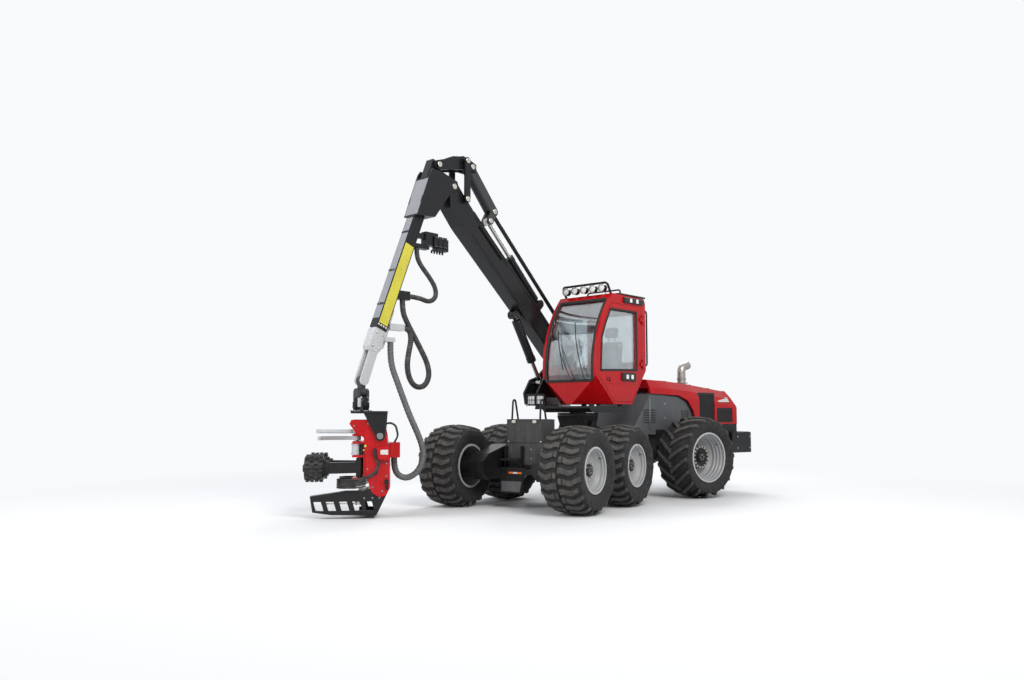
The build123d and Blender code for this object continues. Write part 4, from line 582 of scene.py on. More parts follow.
for wheel in WHEELS:
    node_finish["tyre_" + wheel] = tyre_rubber
    node_finish["rim_" + wheel] = rim_paint
for node, finish in node_finish.items():
    for mesh_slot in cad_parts[node].material_slots:
        mesh_slot.link = "OBJECT"
        mesh_slot.material = finish
print("nodes with a finish", len(node_finish), "of", len(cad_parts))

# %% [markdown]
# A studio floor and a wide sky give even light, like the bright overcast day outdoors.
# Lamps are large, so shadows stay soft, and the backdrop is white only for the camera,
# glossy and glass rays, so it doesn't add light to the machine.

# %% Floor, sky and lamps
bpy.context.scene.view_settings.view_transform = "Standard"
SKY_SEEN, SKY_STRENGTH = (0.97, 0.98, 1.0), 0.97
DAY_COLOUR, DAY_STRENGTH = (0.86, 0.92, 1.0), 0.60
FLOOR_HALF, FADE = 90.0, (4.5, 12.0)
f = Finish("studio_floor")
grey = f.mix(f.noise(0.8, 4.0), (0.74, 0.74, 0.74), (0.79, 0.79, 0.79))
near_floor = f.node("ShaderNodeBsdfPrincipled", None, {"Base Color": grey, "Roughness": 0.8})
far_floor = f.node("ShaderNodeEmission", None, {"Color": (*SKY_SEEN, 1.0), "Strength": SKY_STRENGTH})
away = f.node("ShaderNodeVectorMath", {"operation": "LENGTH"}, {0: f.place}, "Value")
seen_far = away.step(*FADE) * f.node("ShaderNodeLightPath", output="Is Camera Ray")
f.node_out(f.node("ShaderNodeMixShader", None, {0: seen_far, 1: near_floor, 2: far_floor}))
floor_mesh = bpy.data.meshes.new("studio_floor")
corners = [(x, y, 0) for x, y in oblong((-FLOOR_HALF, FLOOR_HALF), (-FLOOR_HALF, FLOOR_HALF))]
floor_mesh.from_pydata(corners, [], [(0, 1, 2, 3)])
floor_mesh.materials.append(f.material)
studio_floor = bpy.data.objects.new("studio_floor", floor_mesh)
bpy.context.scene.collection.objects.link(studio_floor)

world = bpy.data.worlds.new("studio_sky")
bpy.context.scene.world = world
world.use_nodes = True
sky_nodes, sky_links = world.node_tree.nodes, world.node_tree.links
sky_nodes.clear()


def larger(a, b):
    """Larger of two values in the sky's node tree."""
    node = sky_nodes.new("ShaderNodeMath")
    node.operation = "MAXIMUM"
    for value, socket in zip((a, b), node.inputs):
        sky_links.new(value, socket)
    return node.outputs[0]


def background(colour, strength):
    """Even sky of one colour and strength."""
    node = sky_nodes.new("ShaderNodeBackground")
    node.inputs["Color"].default_value = (*colour, 1)
    node.inputs["Strength"].default_value = strength
    return node.outputs[0]


rays = sky_nodes.new("ShaderNodeLightPath").outputs
seen = larger(larger(rays["Is Camera Ray"], rays["Is Glossy Ray"]), rays["Is Transmission Ray"])
sky_mix = sky_nodes.new("ShaderNodeMixShader")
skies = (seen, background(DAY_COLOUR, DAY_STRENGTH), background(SKY_SEEN, SKY_STRENGTH))
for value, socket in zip(skies, sky_mix.inputs):
    sky_links.new(value, socket)
sky_links.new(sky_mix.outputs[0], sky_nodes.new("ShaderNodeOutputWorld").inputs["Surface"])


def lamp(name, place, aim, size, power, colour=(1, 1, 1)):
    """Square area lamp at a place, turned so that it shines at a point."""
    data = bpy.data.lights.new(name, "AREA")
    data.size, data.energy, data.color = size, power, colour
    obj = bpy.data.objects.new(name, data)
    obj.matrix_world = Matrix(stand(place, np.subtract(place, aim))[0].tolist())
    bpy.context.scene.collection.objects.link(obj)
    return obj


lamp("key_lamp", (9.0, 12.0, 13.0), (0, 0, 2), 8.0, 2300, (1.0, 0.97, 0.93))
lamp("fill_lamp", (14.0, -7.0, 8.0), (0, 0, 2), 9.0, 1100)
lamp("back_lamp", (-12.0, -4.0, 11.0), (0, 0, 2), 8.0, 1300)
print("lamps", len(bpy.data.lights))

# %% [markdown]
# The hoses hang in bundles inside a spiral guard. Each bundle's middle line is a NURBS
# spline through the same points as the imported model's tube. The guard is a round
# section carried along that line, with a groove that winds round it.

# %% Hose bundles
HOSE_A = [
    (3270, -720, 4210), (3270, -720, 4060), (3160, -715, 3910), (3000, -705, 3760), (2865, -700, 3590),
    (2865, -700, 3430), (3010, -705, 3345), (3220, -710, 3400), (3440, -710, 3400),
]
HOSE_B = [
    (3560, -715, 3330), (3560, -715, 3150), (3470, -700, 2970), (3350, -690, 2790), (3195, -680, 2560),
    (3050, -680, 2340), (3005, -680, 2130), (3110, -685, 1960), (3300, -690, 1950), (3430, -690, 2090),
    (3475, -690, 2300), (3435, -690, 2520), (3385, -695, 2710), (3420, -700, 2880), (3560, -700, 2880),
]
HOSE_C = [
    (-420, -285, 2640), (-420, -285, 2450), (-450, -262, 2240), (-530, -240, 2030), (-626, -215, 1770),
    (-730, -190, 1500), (-850, -165, 1240), (-935, -145, 1020), (-945, -130, 820), (-860, -115, 640),
    (-700, -105, 545), (-555, -98, 600), (-500, -95, 740), (-500, -95, 880),
]


def spline_line(name, route):
    """Points of the smooth NURBS line whose control points are the route."""
    curve = bpy.data.curves.new(name, "CURVE")
    curve.dimensions = "3D"
    curve.resolution_u = 12
    spline = curve.splines.new("NURBS")
    spline.points.add(len(route) - 1)
    spline.points.foreach_set("co", np.column_stack([route, np.ones(len(route))]).reshape(-1))
    spline.order_u = 3
    spline.use_endpoint_u = True
    holder = bpy.data.objects.new(name, curve)
    mesh = bpy.data.meshes.new_from_object(holder)
    line = np.zeros(len(mesh.vertices) * 3)
    mesh.vertices.foreach_get("co", line)
    bpy.data.objects.remove(holder)
    bpy.data.meshes.remove(mesh)
    return line.reshape(-1, 3)


def spread(line, step):
    """The same line with points at one even distance, and its length."""
    gone = np.concatenate([[0], np.cumsum(np.linalg.norm(np.diff(line, axis=0), axis=1))])
    even = np.linspace(0, gone[-1], max(2, int(gone[-1] / step)))
    return np.stack([np.interp(even, gone, line[:, k]) for k in range(3)], 1), gone[-1]


GROOVE_DEEP, GROOVE_WIDE = 0.14, 0.16


def guard(line, radius, pitch, sides=18):
    """Spiral guard: the radius, less a share of it in a groove that winds round the line."""
    path, length = spread(line, pitch / 7)
    along = np.linspace(0, length / pitch, len(path))[:, None]
    turn = along + np.linspace(0, 1, sides, endpoint=False)[None]
    groove = np.clip(1 - np.abs((turn % 1.0) - 0.5) / GROOVE_WIDE, 0, 1)
    crane_turn = math.radians(TURRET_TURN)
    path_up = (-math.sin(crane_turn), math.cos(crane_turn), 0)
    return tube(path, radius * (1 - GROOVE_DEEP * groove), sides, up=path_up), path, length


# name, route, frame, radius, spiral pitch, body, finish
HOSES = (
    ("hose_short", HOSE_A, TURRET, 0.040, 0.036, "jib", hose_rubber),
    ("hose_loop", HOSE_B, TURRET, 0.045, 0.040, "jib", hose_rubber),
    ("hose_head", HOSE_C, HEAD, 0.048, 0.060, "extension", hose_grey),
)
for name, route, where, radius, pitch, body, finish in HOSES:
    route = np.asarray(route, float) / 1000 @ where[:3, :3].T + where[:3, 3]
    shape, path, length = guard(spline_line(name, route), radius, pitch)
    wrapped = piece(name + "_guard", shape, body, finish, 50, (name,))
    2 * radius
    print(name, "length", round(length, 3), "points", len(path))

# %% [markdown]
# A forestry tyre is wide and soft, with bars out to its shoulders. Its whole skin is one
# grid: around the wheel and across it from bead to bead. The height of the tread is a
# function of both, added to the carcass, so bars, blocks and grooves need no pieces of
# their own and the mesh stays closed.

# %% Tyres
TYRE_HALF, HALF_TRACK = 0.355, 1.15
FLOTATION_BARS, TRACTION_BARS = 26, 18


def soft_box(distance, half, edge):
    """1 inside a band of half width, 0 outside, with a sloped edge."""
    return np.clip((half - np.abs(distance)) / edge + 0.5, 0, 1)


def flotation_tread(around, across, radius):
    """Bars from the middle to each shoulder by turns: wide, wavy, with a narrow groove between two."""
    pitch = 2 * math.pi * radius / FLOTATION_BARS
    out = np.zeros_like(around)
    for side, shift in ((1, 0.0), (-1, 0.5)):
        y = across * side
        swing = 0.024 * np.sin(y * 21.0 + 0.4) + 0.10 * y
        place = (around * radius + swing) / pitch + shift
        offset = (place % 1.0 - 0.5) * pitch
        half_width = 0.052 - 0.010 * np.clip(y / 0.3, 0, 1)
        reach = np.where(np.floor(place) % 2 > 0.5, 0.172, 0.150)
        bar = soft_box(offset, half_width, 0.013) * soft_box(y - 0.012 - reach, reach, 0.013)
        cut = soft_box(y - 0.085, 0.006, 0.008) * (np.floor(place) % 2 > 0.5) * 0.6
        out = np.maximum(out, bar * (1 - cut))
    return out


def traction_tread(around, across, radius):
    """Slanted bars, one from the middle to each shoulder by turns, as on a farm tyre."""
    pitch = 2 * math.pi * radius / TRACTION_BARS
    out = np.zeros_like(around)
    for side, shift in ((1, 0.0), (-1, 0.5)):
        y = across * side
        place = (around * radius + 0.72 * y) / pitch + shift
        offset = (place % 1.0 - 0.5) * pitch
        half_width = 0.036 + 0.012 * np.clip(1 - y / 0.2, 0, 1)
        bar = soft_box(offset, half_width, 0.015) * soft_box(y - 0.165, 0.185, 0.015)
        out = np.maximum(out, bar)
    return out


def tyre_skin(radius, rim_radius, depth, pattern, rows=494):
    """Closed ring: carcass radius across the tyre, plus the tread's depth where the pattern is 1."""
    bead, bore = 0.295, rim_radius - 0.017
    rise = np.linspace(0, 1, 15)
    side_y = bead + (TYRE_HALF - bead) * np.sin(np.clip(rise / 0.62, 0, 1) * np.pi / 2)
    side_y = side_y - 0.025 * np.clip((rise - 0.62) / 0.38, 0, 1) ** 2
    side_r = rim_radius + 0.001 + (radius - 0.050 - rim_radius) * rise
    rings = 0.004 * (soft_box(rise - 0.30, 0.04, 0.05) + soft_box(rise - 0.52, 0.06, 0.04))
    crown_y = np.linspace(0.330, -0.330, 60)[1:-1]
    crown_r = radius - 0.050 * (crown_y / 0.330) ** 2
    y = np.concatenate([[bead], side_y + rings, crown_y, -(side_y + rings)[::-1], [-bead]])
    r = np.concatenate([[bore], side_r, crown_r, side_r[::-1], [bore]])
    drop = np.concatenate([[0], np.clip((rise - 0.80) / 0.2, 0, 1) * depth, np.full(58, depth)])
    drop = np.concatenate([drop, drop[1:16][::-1], [0]])
    around = np.linspace(0, 2 * np.pi, rows, endpoint=False)[:, None] + 0 * y[None]
    across = y[None] + 0 * around
    tread = pattern(around, across, radius) * (drop[None] > 0)
    height = r[None] - drop[None] * (1 - tread)
    points = np.stack([height * np.sin(around), across, height * np.cos(around)], -1)
    shape = grid(points, round_rows=True, round_columns=True)
    return shape, tread.reshape(-1)


# name, frame, place along it, side, radius, rim radius, tread depth, pattern
WHEEL_TABLE = (
    ("front_left", FRONT, 0.75, 1, 0.675, 0.357, 0.038, flotation_tread),
    ("front_right", FRONT, 0.75, -1, 0.675, 0.357, 0.038, flotation_tread),
    ("middle_left", FRONT, -0.75, 1, 0.675, 0.357, 0.038, flotation_tread),
    ("middle_right", FRONT, -0.75, -1, 0.675, 0.357, 0.038, flotation_tread),
    ("rear_left", REAR, -1.82, 1, 0.740, 0.452, 0.052, traction_tread),
    ("rear_right", REAR, -1.82, -1, 0.740, 0.452, 0.052, traction_tread),
)
skins = {}
for name, where, x, side, radius, rim_radius, depth, pattern in WHEEL_TABLE:
    if radius not in skins:
        skins[radius] = tyre_skin(radius, rim_radius, depth, pattern)
    shape, tread = skins[radius]
    skin = copies(shape, where @ pose((x, side * HALF_TRACK, radius)) @ to_side(side))
    piece("tread_" + name, skin, "wheel_" + name, tyre_rubber, 40, ("tyre_" + name,), tread)
print("tyre faces", [len(s[0][1][0]) for s in skins.values()])

# %% [markdown]
# Wheel rims are pressed bowls held by a ring of nuts. The imported rim has the bowl, so only
# the small things are added: nuts and washers, a pale ring on the flange that is a painted
# highlight, the hub cover, and the hand hole, which is a dark disc of painted shade. A nut is a profile turned
# with six sides.


# %% Small fasteners
def disc(radius, thick, sides):
    """Flat round plate that stands on z = 0."""
    return turned([(0.0, 0.0), (0.0, radius), (thick, radius), (thick, 0.0)], sides)


def collar(inner, outer, thick, sides=28):
    """Flat ring that stands on z = 0."""
    return turned([(0.0, inner), (0.0, outer), (thick, outer), (thick, inner)], sides)


def nut(radius, high):
    """Hexagon head on a round washer, standing on z = 0."""
    head = turned([(0.0, 0.0), (0.0, radius), (high * 0.82, radius), (high, radius * 0.82), (high, 0.0)], 6)
    return join(head, disc(radius * 1.3, high * 0.22, 14))


def ring_of(count, radius, start=0.0, z=0.0):
    """Places on a circle about the local Z axis."""
    angle = start + np.arange(count) * 2 * np.pi / count
    return np.stack([radius * np.cos(angle), radius * np.sin(angle), np.full(count, z)], 1)


def placed(shape, places, toward):
    """The shape at each place, its local +Z turned to one direction."""
    return copies(shape, stand(places, toward))


def shifted(shape, *places):
    """The shape once at each place, not turned."""
    return copies(shape, [pose(place) for place in places])


def nuts_at(places, toward, radius=0.012, high=0.012):
    """A nut at each place, all facing one way."""
    return placed(nut(radius, high), places, toward)


def at(matrix, *shapes):
    """Shapes joined and carried by one matrix."""
    return copies(join(*shapes), matrix)


def wall_left(y, side=1):
    """Matrix that stands a drawing (x, z) up as a wall at a distance y, facing +Y, or -Y for side -1."""
    return np.array([[1.0, 0, 0, 0], [0, 0, side, y], [0, 1, 0, 0], [0, 0, 0, 1]])


def wall_front(x):
    """Matrix that stands a drawing (y, z) up as a wall facing +X at a distance x."""
    return np.array([[0.0, 0, 1, x], [1, 0, 0, 0], [0, 1, 0, 0], [0, 0, 0, 1]])


FRAME_OF = {body: where for where, bodies in (
    (FRONT, ("front", "bogie_left", "bogie_right")),
    (REAR, ("rear",)),
    (TURRET, ("turret", "door", "boom", "jib", "extension", "rocker", "top_link", "push_link")),
    (HEAD, ("rotator", "bracket", "head", "knife_left", "knife_right")),
) for body in bodies}


def fit(name, body, slot, material, *shapes):
    """Piece from shapes drawn in the straight frame of the part that its body belongs to."""
    return piece(name, at(FRAME_OF[body], *shapes), body, material)


# %% Hubs and rim rings
# The hand hole is a thin dark disc: painted shade where the rim has an opening.
HAND_HOLE_SHADE = disc(0.026, 0.002, 24)
AIR_VALVE = turned([(0.0, 0.0), (0.0, 0.007), (0.035, 0.006), (0.045, 0.004), (0.045, 0.0)], 12)

for name, where, x, side, radius, rim_radius, *_ in WHEEL_TABLE:
    body = "wheel_" + name
    hub = where @ stand([(x, side * HALF_TRACK, radius)], (0, side, 0))[0]
    front_wheel = rim_radius < 0.4
    face, circle, count = (0.185, 0.132, 10) if front_wheel else (0.108, 0.187, 16)
    hole_face, valve_face = (face - 0.011, 0.235) if front_wheel else (0.017, 0.20)
    cap = [(face, 0.0), (face, 0.096), (face + 0.012, 0.100), (face + 0.030, 0.088),
           (face + 0.036, 0.060), (face + 0.036, 0.0)]
    parts = [turned(cap, 40)]
    if not front_wheel:
        sleeve = [(0.017, 0.205), (0.017, 0.2165), (0.096, 0.2165), (face, 0.209), (face, 0.0), (0.017, 0.0)]
        parts.append(turned(sleeve, 56))
    piece("hub_" + name, at(hub, *parts), body, black_paint)
    wheel_nuts = nuts_at(ring_of(count, circle, 0.2, face), (0, 0, 1), 0.016, 0.022)
    cap_nuts = nuts_at(ring_of(6, 0.045, 0.1, face + 0.036), (0, 0, 1), 0.007, 0.006)
    piece("nuts_" + name, at(hub, wheel_nuts, cap_nuts), body, zinc)
    # The pale ring on the flange's edge is a painted highlight.
    edge = rim_radius - 0.003
    flange_highlight = [(0.3094, edge - 0.020), (0.3128, edge - 0.016), (0.3128, edge - 0.003), (0.3094, edge)]
    piece("flange_highlight_" + name, at(hub, grid(spun(flange_highlight, 72), True, True)), body, pale_paint)
    # Dark disc of painted shade for the hand hole; the air valve beside it is black rubber.
    hole_shade = placed(HAND_HOLE_SHADE, ring_of(1, rim_radius - 0.125, 2.2, hole_face), (0, 0, 1))
    valve = placed(AIR_VALVE, ring_of(1, rim_radius - 0.06, 0.6, valve_face), (0, 0, 1))
    piece("hole_" + name, at(hub, hole_shade, valve), body, seal_rubber)
print("hubs on", len(WHEEL_TABLE), "wheels")

# %% [markdown]
# The bogie cases are welded boxes with bolted covers. Rows of bolts tell their size, so
# each case gets a round cover on its pivot and two plates between the wheels.

# %% Bogie covers
CASE_FACE, PIVOT_HIGH, PLATE_X = 0.745, 0.80, (-0.36, 0.36)
pivot = [(0.0, 0.0), (0.0, 0.19), (0.012, 0.19), (0.018, 0.182), (0.018, 0.11), (0.034, 0.10), (0.034, 0.0)]
pivot_cover = turned(pivot, 56)
case_plate = rounded_plate(oblong((-0.13, 0.13), (-0.10, 0.10)), 0.03, 0.012)
for side, label in SIDES:
    out, body = (0, side, 0), "bogie_" + label
    cover = placed(pivot_cover, [(0, side * CASE_FACE, PIVOT_HIGH)], out)
    plates = placed(case_plate, [(x, side * CASE_FACE, PIVOT_HIGH) for x in PLATE_X], out)
    fit("bogie_cover_" + label, body, "black_paint", black_paint, cover, plates)
    ring = ring_of(16, 0.165)[:, [0, 2, 1]] + [0, side * 0.763, PIVOT_HIGH]
    corners = [(x + dx, side * 0.757, PIVOT_HIGH + dz) for x in PLATE_X
               for dx in (-0.105, 0, 0.105) for dz in (-0.078, 0.078)]
    fit("bogie_bolts_" + label, body, "bare_steel", worn_steel,
        nuts_at(ring, out), nuts_at(corners, out, 0.010, 0.010))
print("bogie bolts a side", 16 + len(corners))

# %% [markdown]
# People climb over the nose and stand on the deck, so those plates are rough. Raised
# studs, long diamonds, are laid out on a grid, each turned the other way from its neighbour.


# %% Tread plate, steps and reflectors
def tread_plate(x, y, z, pitch=0.045):
    """Raised studs over a level area: long diamonds, turned by turns to either side."""
    xs = np.arange(x[0] + pitch / 2, x[1], pitch)
    ys = np.arange(y[0] + pitch / 2, y[1], pitch)
    grid_x, grid_y = [a.reshape(-1) for a in np.meshgrid(xs, ys)]
    odd = (np.round((grid_x - x[0]) / pitch) + np.round((grid_y - y[0]) / pitch)) % 2 > 0.5
    stud = slab([(-0.015, 0), (0, -0.005), (0.015, 0), (0, 0.005)], 0.003, 0.0012)
    places = np.stack([grid_x, grid_y, np.full(len(grid_x), z)], 1)
    return join(*[copies(stud, stand(places[odd == k], (0, 0, 1), turn)) for k, turn in ((0, 0.8), (1, -0.8))])


deck = tread_plate((-1.78, -1.02), (-0.375, 0.375), 1.250)
lid = tread_plate((0.075, 0.42), (-0.335, 0.335), 1.438)
lid_plate = block((0.062, 0.442), (-0.352, 0.352), (1.4285, 1.438), 0.003)
fit("front_deck", "front", "dark_grey_paint", dark_grey_paint, deck, lid, lid_plate)
steps = []
for low in (0.27, 0.52, 0.77):
    steps.append(tread_plate((0.465, 0.605), (-0.345, -0.035), low + 0.030, 0.036))
    steps.append(block((0.6095, 0.6135), (-0.352, -0.028), (low - 0.004, low + 0.034), 0.0015))
fit("step_treads", "front", "black_paint", black_paint, *steps)
shield = rounded_plate([(-0.36, 0.66), (0.12, 0.66), (0.04, 0.25), (-0.36, 0.25)], 0.02, 0.006, 0.002)
shield_arm = block((0.43, 0.615), (0.06, 0.08), (0.63, 0.655), 0.003)
fit("step_shield", "front", "black_paint", black_paint, copies(shield, wall_front(0.6145)), shield_arm)
panel = rounded_plate([(-0.33, 0.44), (0.055, 0.44), (0.02, 0.275), (-0.33, 0.275)], 0.012, 0.004, 0.001)
fit("step_panel", "front", "grey_paint", grey_paint, copies(panel, wall_front(0.6205)))
for name, span, finish in (("reflector_right", (-0.190, -0.110), orange_reflector),
                           ("reflector_middle", (-0.107, -0.027), label_pale),
                           ("reflector_left", (-0.024, 0.056), orange_reflector)):
    fit(name, "front", "black_plastic", finish, block((0.6203, 0.6240), span, (0.562, 0.590), 0.001))
print("steps", len(steps) // 2, "pieces", len(added))

# %% [markdown]
# The nose and its box are held by bolts and two latches. A towing eye is bent from round
# bar, as a smooth path through four corners.

# %% Nose bolts, latches and towing eye
latch = block((0.442, 0.458), (-0.035, 0.035), (1.375, 1.425), 0.003)
fit("box_latches", "front", "bare_steel", zinc,
    nuts_at([(0.4442, y, 1.075) for y in (-0.31, 0.31)], (1, 0, 0), 0.010, 0.009),
    shifted(latch, (0, -0.2, 0), (0, 0.2, 0)))
nose_nuts = [(0.4302, y, z) for y in (0.12, 0.33) for z in (0.80, 0.95)]
side_places = [[(x, side * 0.3802, z) for x in (-0.95, -0.75, -0.5, 0.3) for z in (0.68, 1.10)]
               for side in (-1, 1)]
side_nuts = [nuts_at(places, (0, side, 0)) for places, side in zip(side_places, (-1, 1))]
fit("nose_bolts", "front", "bare_steel", worn_steel, nuts_at(nose_nuts, (1, 0, 0)), *side_nuts)
eye_corners = [(0.44, 0.24, 0.72), (0.52, 0.24, 0.72), (0.52, 0.24, 0.80), (0.44, 0.24, 0.80)]
fit("tow_eye", "front", "black_paint", black_paint, tube(smooth_path(eye_corners, 0.03), 0.012, 10, (0, 1, 0)))
print("pieces", len(added))

# %% [markdown]
# Cab windows sit in black rubber. The windscreen bends, so its seal is a ring laid on the
# same curve as the cab's front: a circle through three points of its side view. Flat
# windows get a ring in their own plane, worked out from the window's outline.


# %% Rings and plates that follow an outline
def ring_plate(outline, radius, width, thick, edge=0.002):
    """Frame between a rounded outline and the same outline moved inwards, in XY, up to its thickness."""
    outline = anticlockwise(rounded(outline, radius))
    rings = ((0, 0), (0, thick - edge), (edge, thick), (width - edge, thick), (width, thick - edge), (width, 0))
    points = np.stack([np.column_stack([inset(outline, d), np.full(len(outline), z)]) for d, z in rings])
    return grid(points, round_rows=True, round_columns=True)


def circle_through(a, b, c):
    """Centre and radius of the circle through three points of a plane."""
    matrix = 2 * np.array([np.subtract(b, a), np.subtract(c, a)])
    centre = np.linalg.solve(matrix, [np.dot(b, b) - np.dot(a, a), np.dot(c, c) - np.dot(a, a)])
    return centre, np.linalg.norm(centre - a)


NOSE_CENTRE, NOSE_RADIUS = circle_through((0.53, 2.10), (0.45, 2.90), (0.08, 3.60))


def on_screen(y, z, out=0.0):
    """Point on the cab's curved front at a side place and a height, moved out by a distance."""
    rise = (np.asarray(z, float) - NOSE_CENTRE[1]) / NOSE_RADIUS
    ahead, reach = np.sqrt(1 - rise ** 2), NOSE_RADIUS + out
    side_place = np.asarray(y, float) + 0 * rise
    return np.stack([NOSE_CENTRE[0] + ahead * reach, side_place, NOSE_CENTRE[1] + rise * reach], -1)


def box_outline(y, z, radius, count=14):
    """Rectangle less its corners, with extra points along its sides, so that it can bend."""
    corners = np.array(oblong(y, z))
    sides = []
    for a, b in zip(corners, np.roll(corners, -1, 0)):
        t = np.linspace(0, 1, count)[:, None]
        step = (b - a) / np.linalg.norm(b - a) * radius
        sides.append(a + step + (b - a - 2 * step) * t)
    return np.vstack(sides)


# %% Window seals and wipers
screen = box_outline((-0.325, 0.765), (2.085, 3.585), 0.035)
seal_profile = [(0.0, -0.003), (0.0, 0.008), (0.005, 0.013), (0.036, 0.013), (0.046, 0.004), (0.046, -0.014)]
screen_seal = grid(np.stack([on_screen(*inset(screen, d).T, out) for d, out in seal_profile]), True, True)
rear_seal = ring_plate(oblong((-0.275, 0.715), (2.455, 3.425)), 0.03, 0.04, 0.012)
right_glass = [(-0.845, 2.375), (0.368, 2.375), (0.322, 2.905), (0.072, 3.405), (-0.845, 3.405)]
right_seal = ring_plate(right_glass, 0.03, 0.04, 0.012)
fit("cab_seals", "turret", "black_plastic", seal_rubber, screen_seal,
    copies(rear_seal, ABOUT @ wall_front(1.0)), copies(right_seal, ACROSS @ wall_left(0.38)))
door_glass = [(-0.722, 2.308), (0.410, 2.268), (0.372, 2.86), (0.240, 3.16), (0.100, 3.402), (-0.722, 3.402)]
door_seal = ring_plate(door_glass, 0.025, 0.036, 0.010)
fit("door_seal", "door", "black_plastic", seal_rubber, copies(door_seal, wall_left(0.82)))


def wiper(pivot, elbow, blade):
    """Arm from a pivot over the screen to the middle of a blade; all are (y, z) on the screen."""
    arm = tube(on_screen(*np.linspace(pivot, elbow, 8).T, 0.034), 0.007, 8)
    edge = tube(on_screen(*np.linspace(*blade, 14).T, 0.017), 0.009, 8)
    knob = turned([(-0.02, 0), (-0.02, 0.022), (0.028, 0.022), (0.034, 0.015), (0.034, 0)], 16)
    return join(arm, edge, placed(knob, on_screen(*pivot), (1, 0, 0.25)))


fit("wipers", "turret", "black_plastic", black_plastic,
    wiper((0.30, 2.115), (0.02, 2.66), ((0.12, 2.30), (-0.10, 3.02))),
    wiper((0.60, 2.115), (0.40, 2.75), ((0.52, 2.32), (0.25, 3.15))))
print("screen bends on a radius of", round(float(NOSE_RADIUS), 3), "m")

# %% [markdown]
# Work lamps are the machine's jewellery: round ones on the roof, square diode pairs on the
# door and the roof's side, and two in a guard by the crane. A lens is a shallow dome, and a
# diode is a small square pane with a bright dot in each cell.


# %% Lamps
def diode_lamp(half_wide, half_high, cells=3):
    """Square lamp: a rimmed pane and rows of small domes under it, facing +Z."""
    pane = rounded_plate(oblong((-half_wide, half_wide), (-half_high, half_high)), 0.008, 0.004, 0.001)
    dome = turned([(0.0, 0.009), (0.003, 0.008), (0.0045, 0.0)], 10)
    step = np.linspace(-0.62, 0.62, cells)
    cell_places = [(x * half_wide, y * half_high, 0.0036) for x in step for y in step]
    return join(pane, placed(dome, cell_places, (0, 0, 1)))


def lamp_row(shape, x):
    """The shape at each round roof lamp, facing ahead at a distance x."""
    return placed(shape, [(x, y, 3.775) for y in (-0.19, 0.015, 0.22, 0.425, 0.63)], (1, 0, 0))


lens_dome = turned([(0.0, 0.0), (0.0, 0.0565), (0.004, 0.0555), (0.009, 0.040), (0.011, 0.0)], 32)
rim_ring = turned([(0.0, 0.059), (0.0, 0.0705), (0.010, 0.0705), (0.012, 0.067), (0.012, 0.059)], 32)
fit("roof_lenses", "turret", "cab_glass", lamp_lens, lamp_row(lens_dome, 0.0935))
fit("roof_lamp_rims", "turret", "bare_steel", zinc, lamp_row(rim_ring, 0.098))
fit("door_leds", "door", "cab_glass", lamp_led,
    placed(diode_lamp(0.036, 0.038), [(x, 0.8555, 2.19) for x in (-0.512, -0.362)], (0, 1, 0)))
pod_cover = rounded_plate(oblong((-0.638, -0.222), (2.115, 2.265)), 0.02, 0.037, 0.008)
fit("door_pod_cover", "door", "black_plastic", black_plastic, copies(pod_cover, wall_left(0.819)))
fit("roof_side_pod", "turret", "black_plastic", black_plastic,
    block((-0.90, -0.30), (0.802, 0.855), (3.528, 3.632), 0.012))
fit("roof_side_leds", "turret", "cab_glass", lamp_led,
    placed(diode_lamp(0.036, 0.036), [(x, 0.8545, 3.58) for x in (-0.70, -0.50)], (0, 1, 0)))
guard_boxes = [block((0.54, 0.60), (-0.70, -0.50), (1.69, 1.87), 0.01),
               block((0.54, 0.60), (-0.49, -0.29), (1.69, 1.87), 0.01),
               block((0.30, 0.56), (-0.55, -0.43), (1.61, 1.64), 0.004),
               block((0.52, 0.55), (-0.55, -0.43), (1.61, 1.74), 0.004)]
guard_bars = [tube([(0.625, y, 1.67), (0.635, y, 1.78), (0.625, y, 1.89)], 0.005, 8, (0, 1, 0))
              for y in np.linspace(-0.69, -0.30, 7)]
HOOP = ((0.56, -0.71), (0.62, -0.71), (0.63, -0.50), (0.62, -0.28), (0.56, -0.28))
guard_hoops = [tube([(x, y, z) for x, y in HOOP], 0.006, 8) for z in (1.68, 1.78, 1.88)]
fit("crane_lamp_guard", "turret", "black_paint", black_paint, *guard_boxes, *guard_bars, *guard_hoops)
fit("crane_leds", "turret", "cab_glass", lamp_led,
    placed(diode_lamp(0.078, 0.070, 4), [(0.60, y, 1.78) for y in (-0.60, -0.39)], (1, 0, 0)))
beacon = turned([(0.0, 0.0), (0.0, 0.036), (-0.055, 0.034), (-0.068, 0.022), (-0.070, 0.0)], 24)
fit("amber_lamp", "turret", "cab_glass", amber_lens, shifted(beacon, (0.02, 0.48, 1.69)))
fit("amber_foot", "turret", "black_plastic", black_plastic,
    shifted(disc(0.044, 0.012, 24), (0.02, 0.48, 1.689)))
print("pieces with the lamps", len(added))

# %% [markdown]
# The roof carries a black rear plate, a second hoop and the aerial's foot. Small screws
# hold the pods and the hinges. Below the door's window a pressed crease runs along the
# panel, which here is a thin raised strip of the same red.

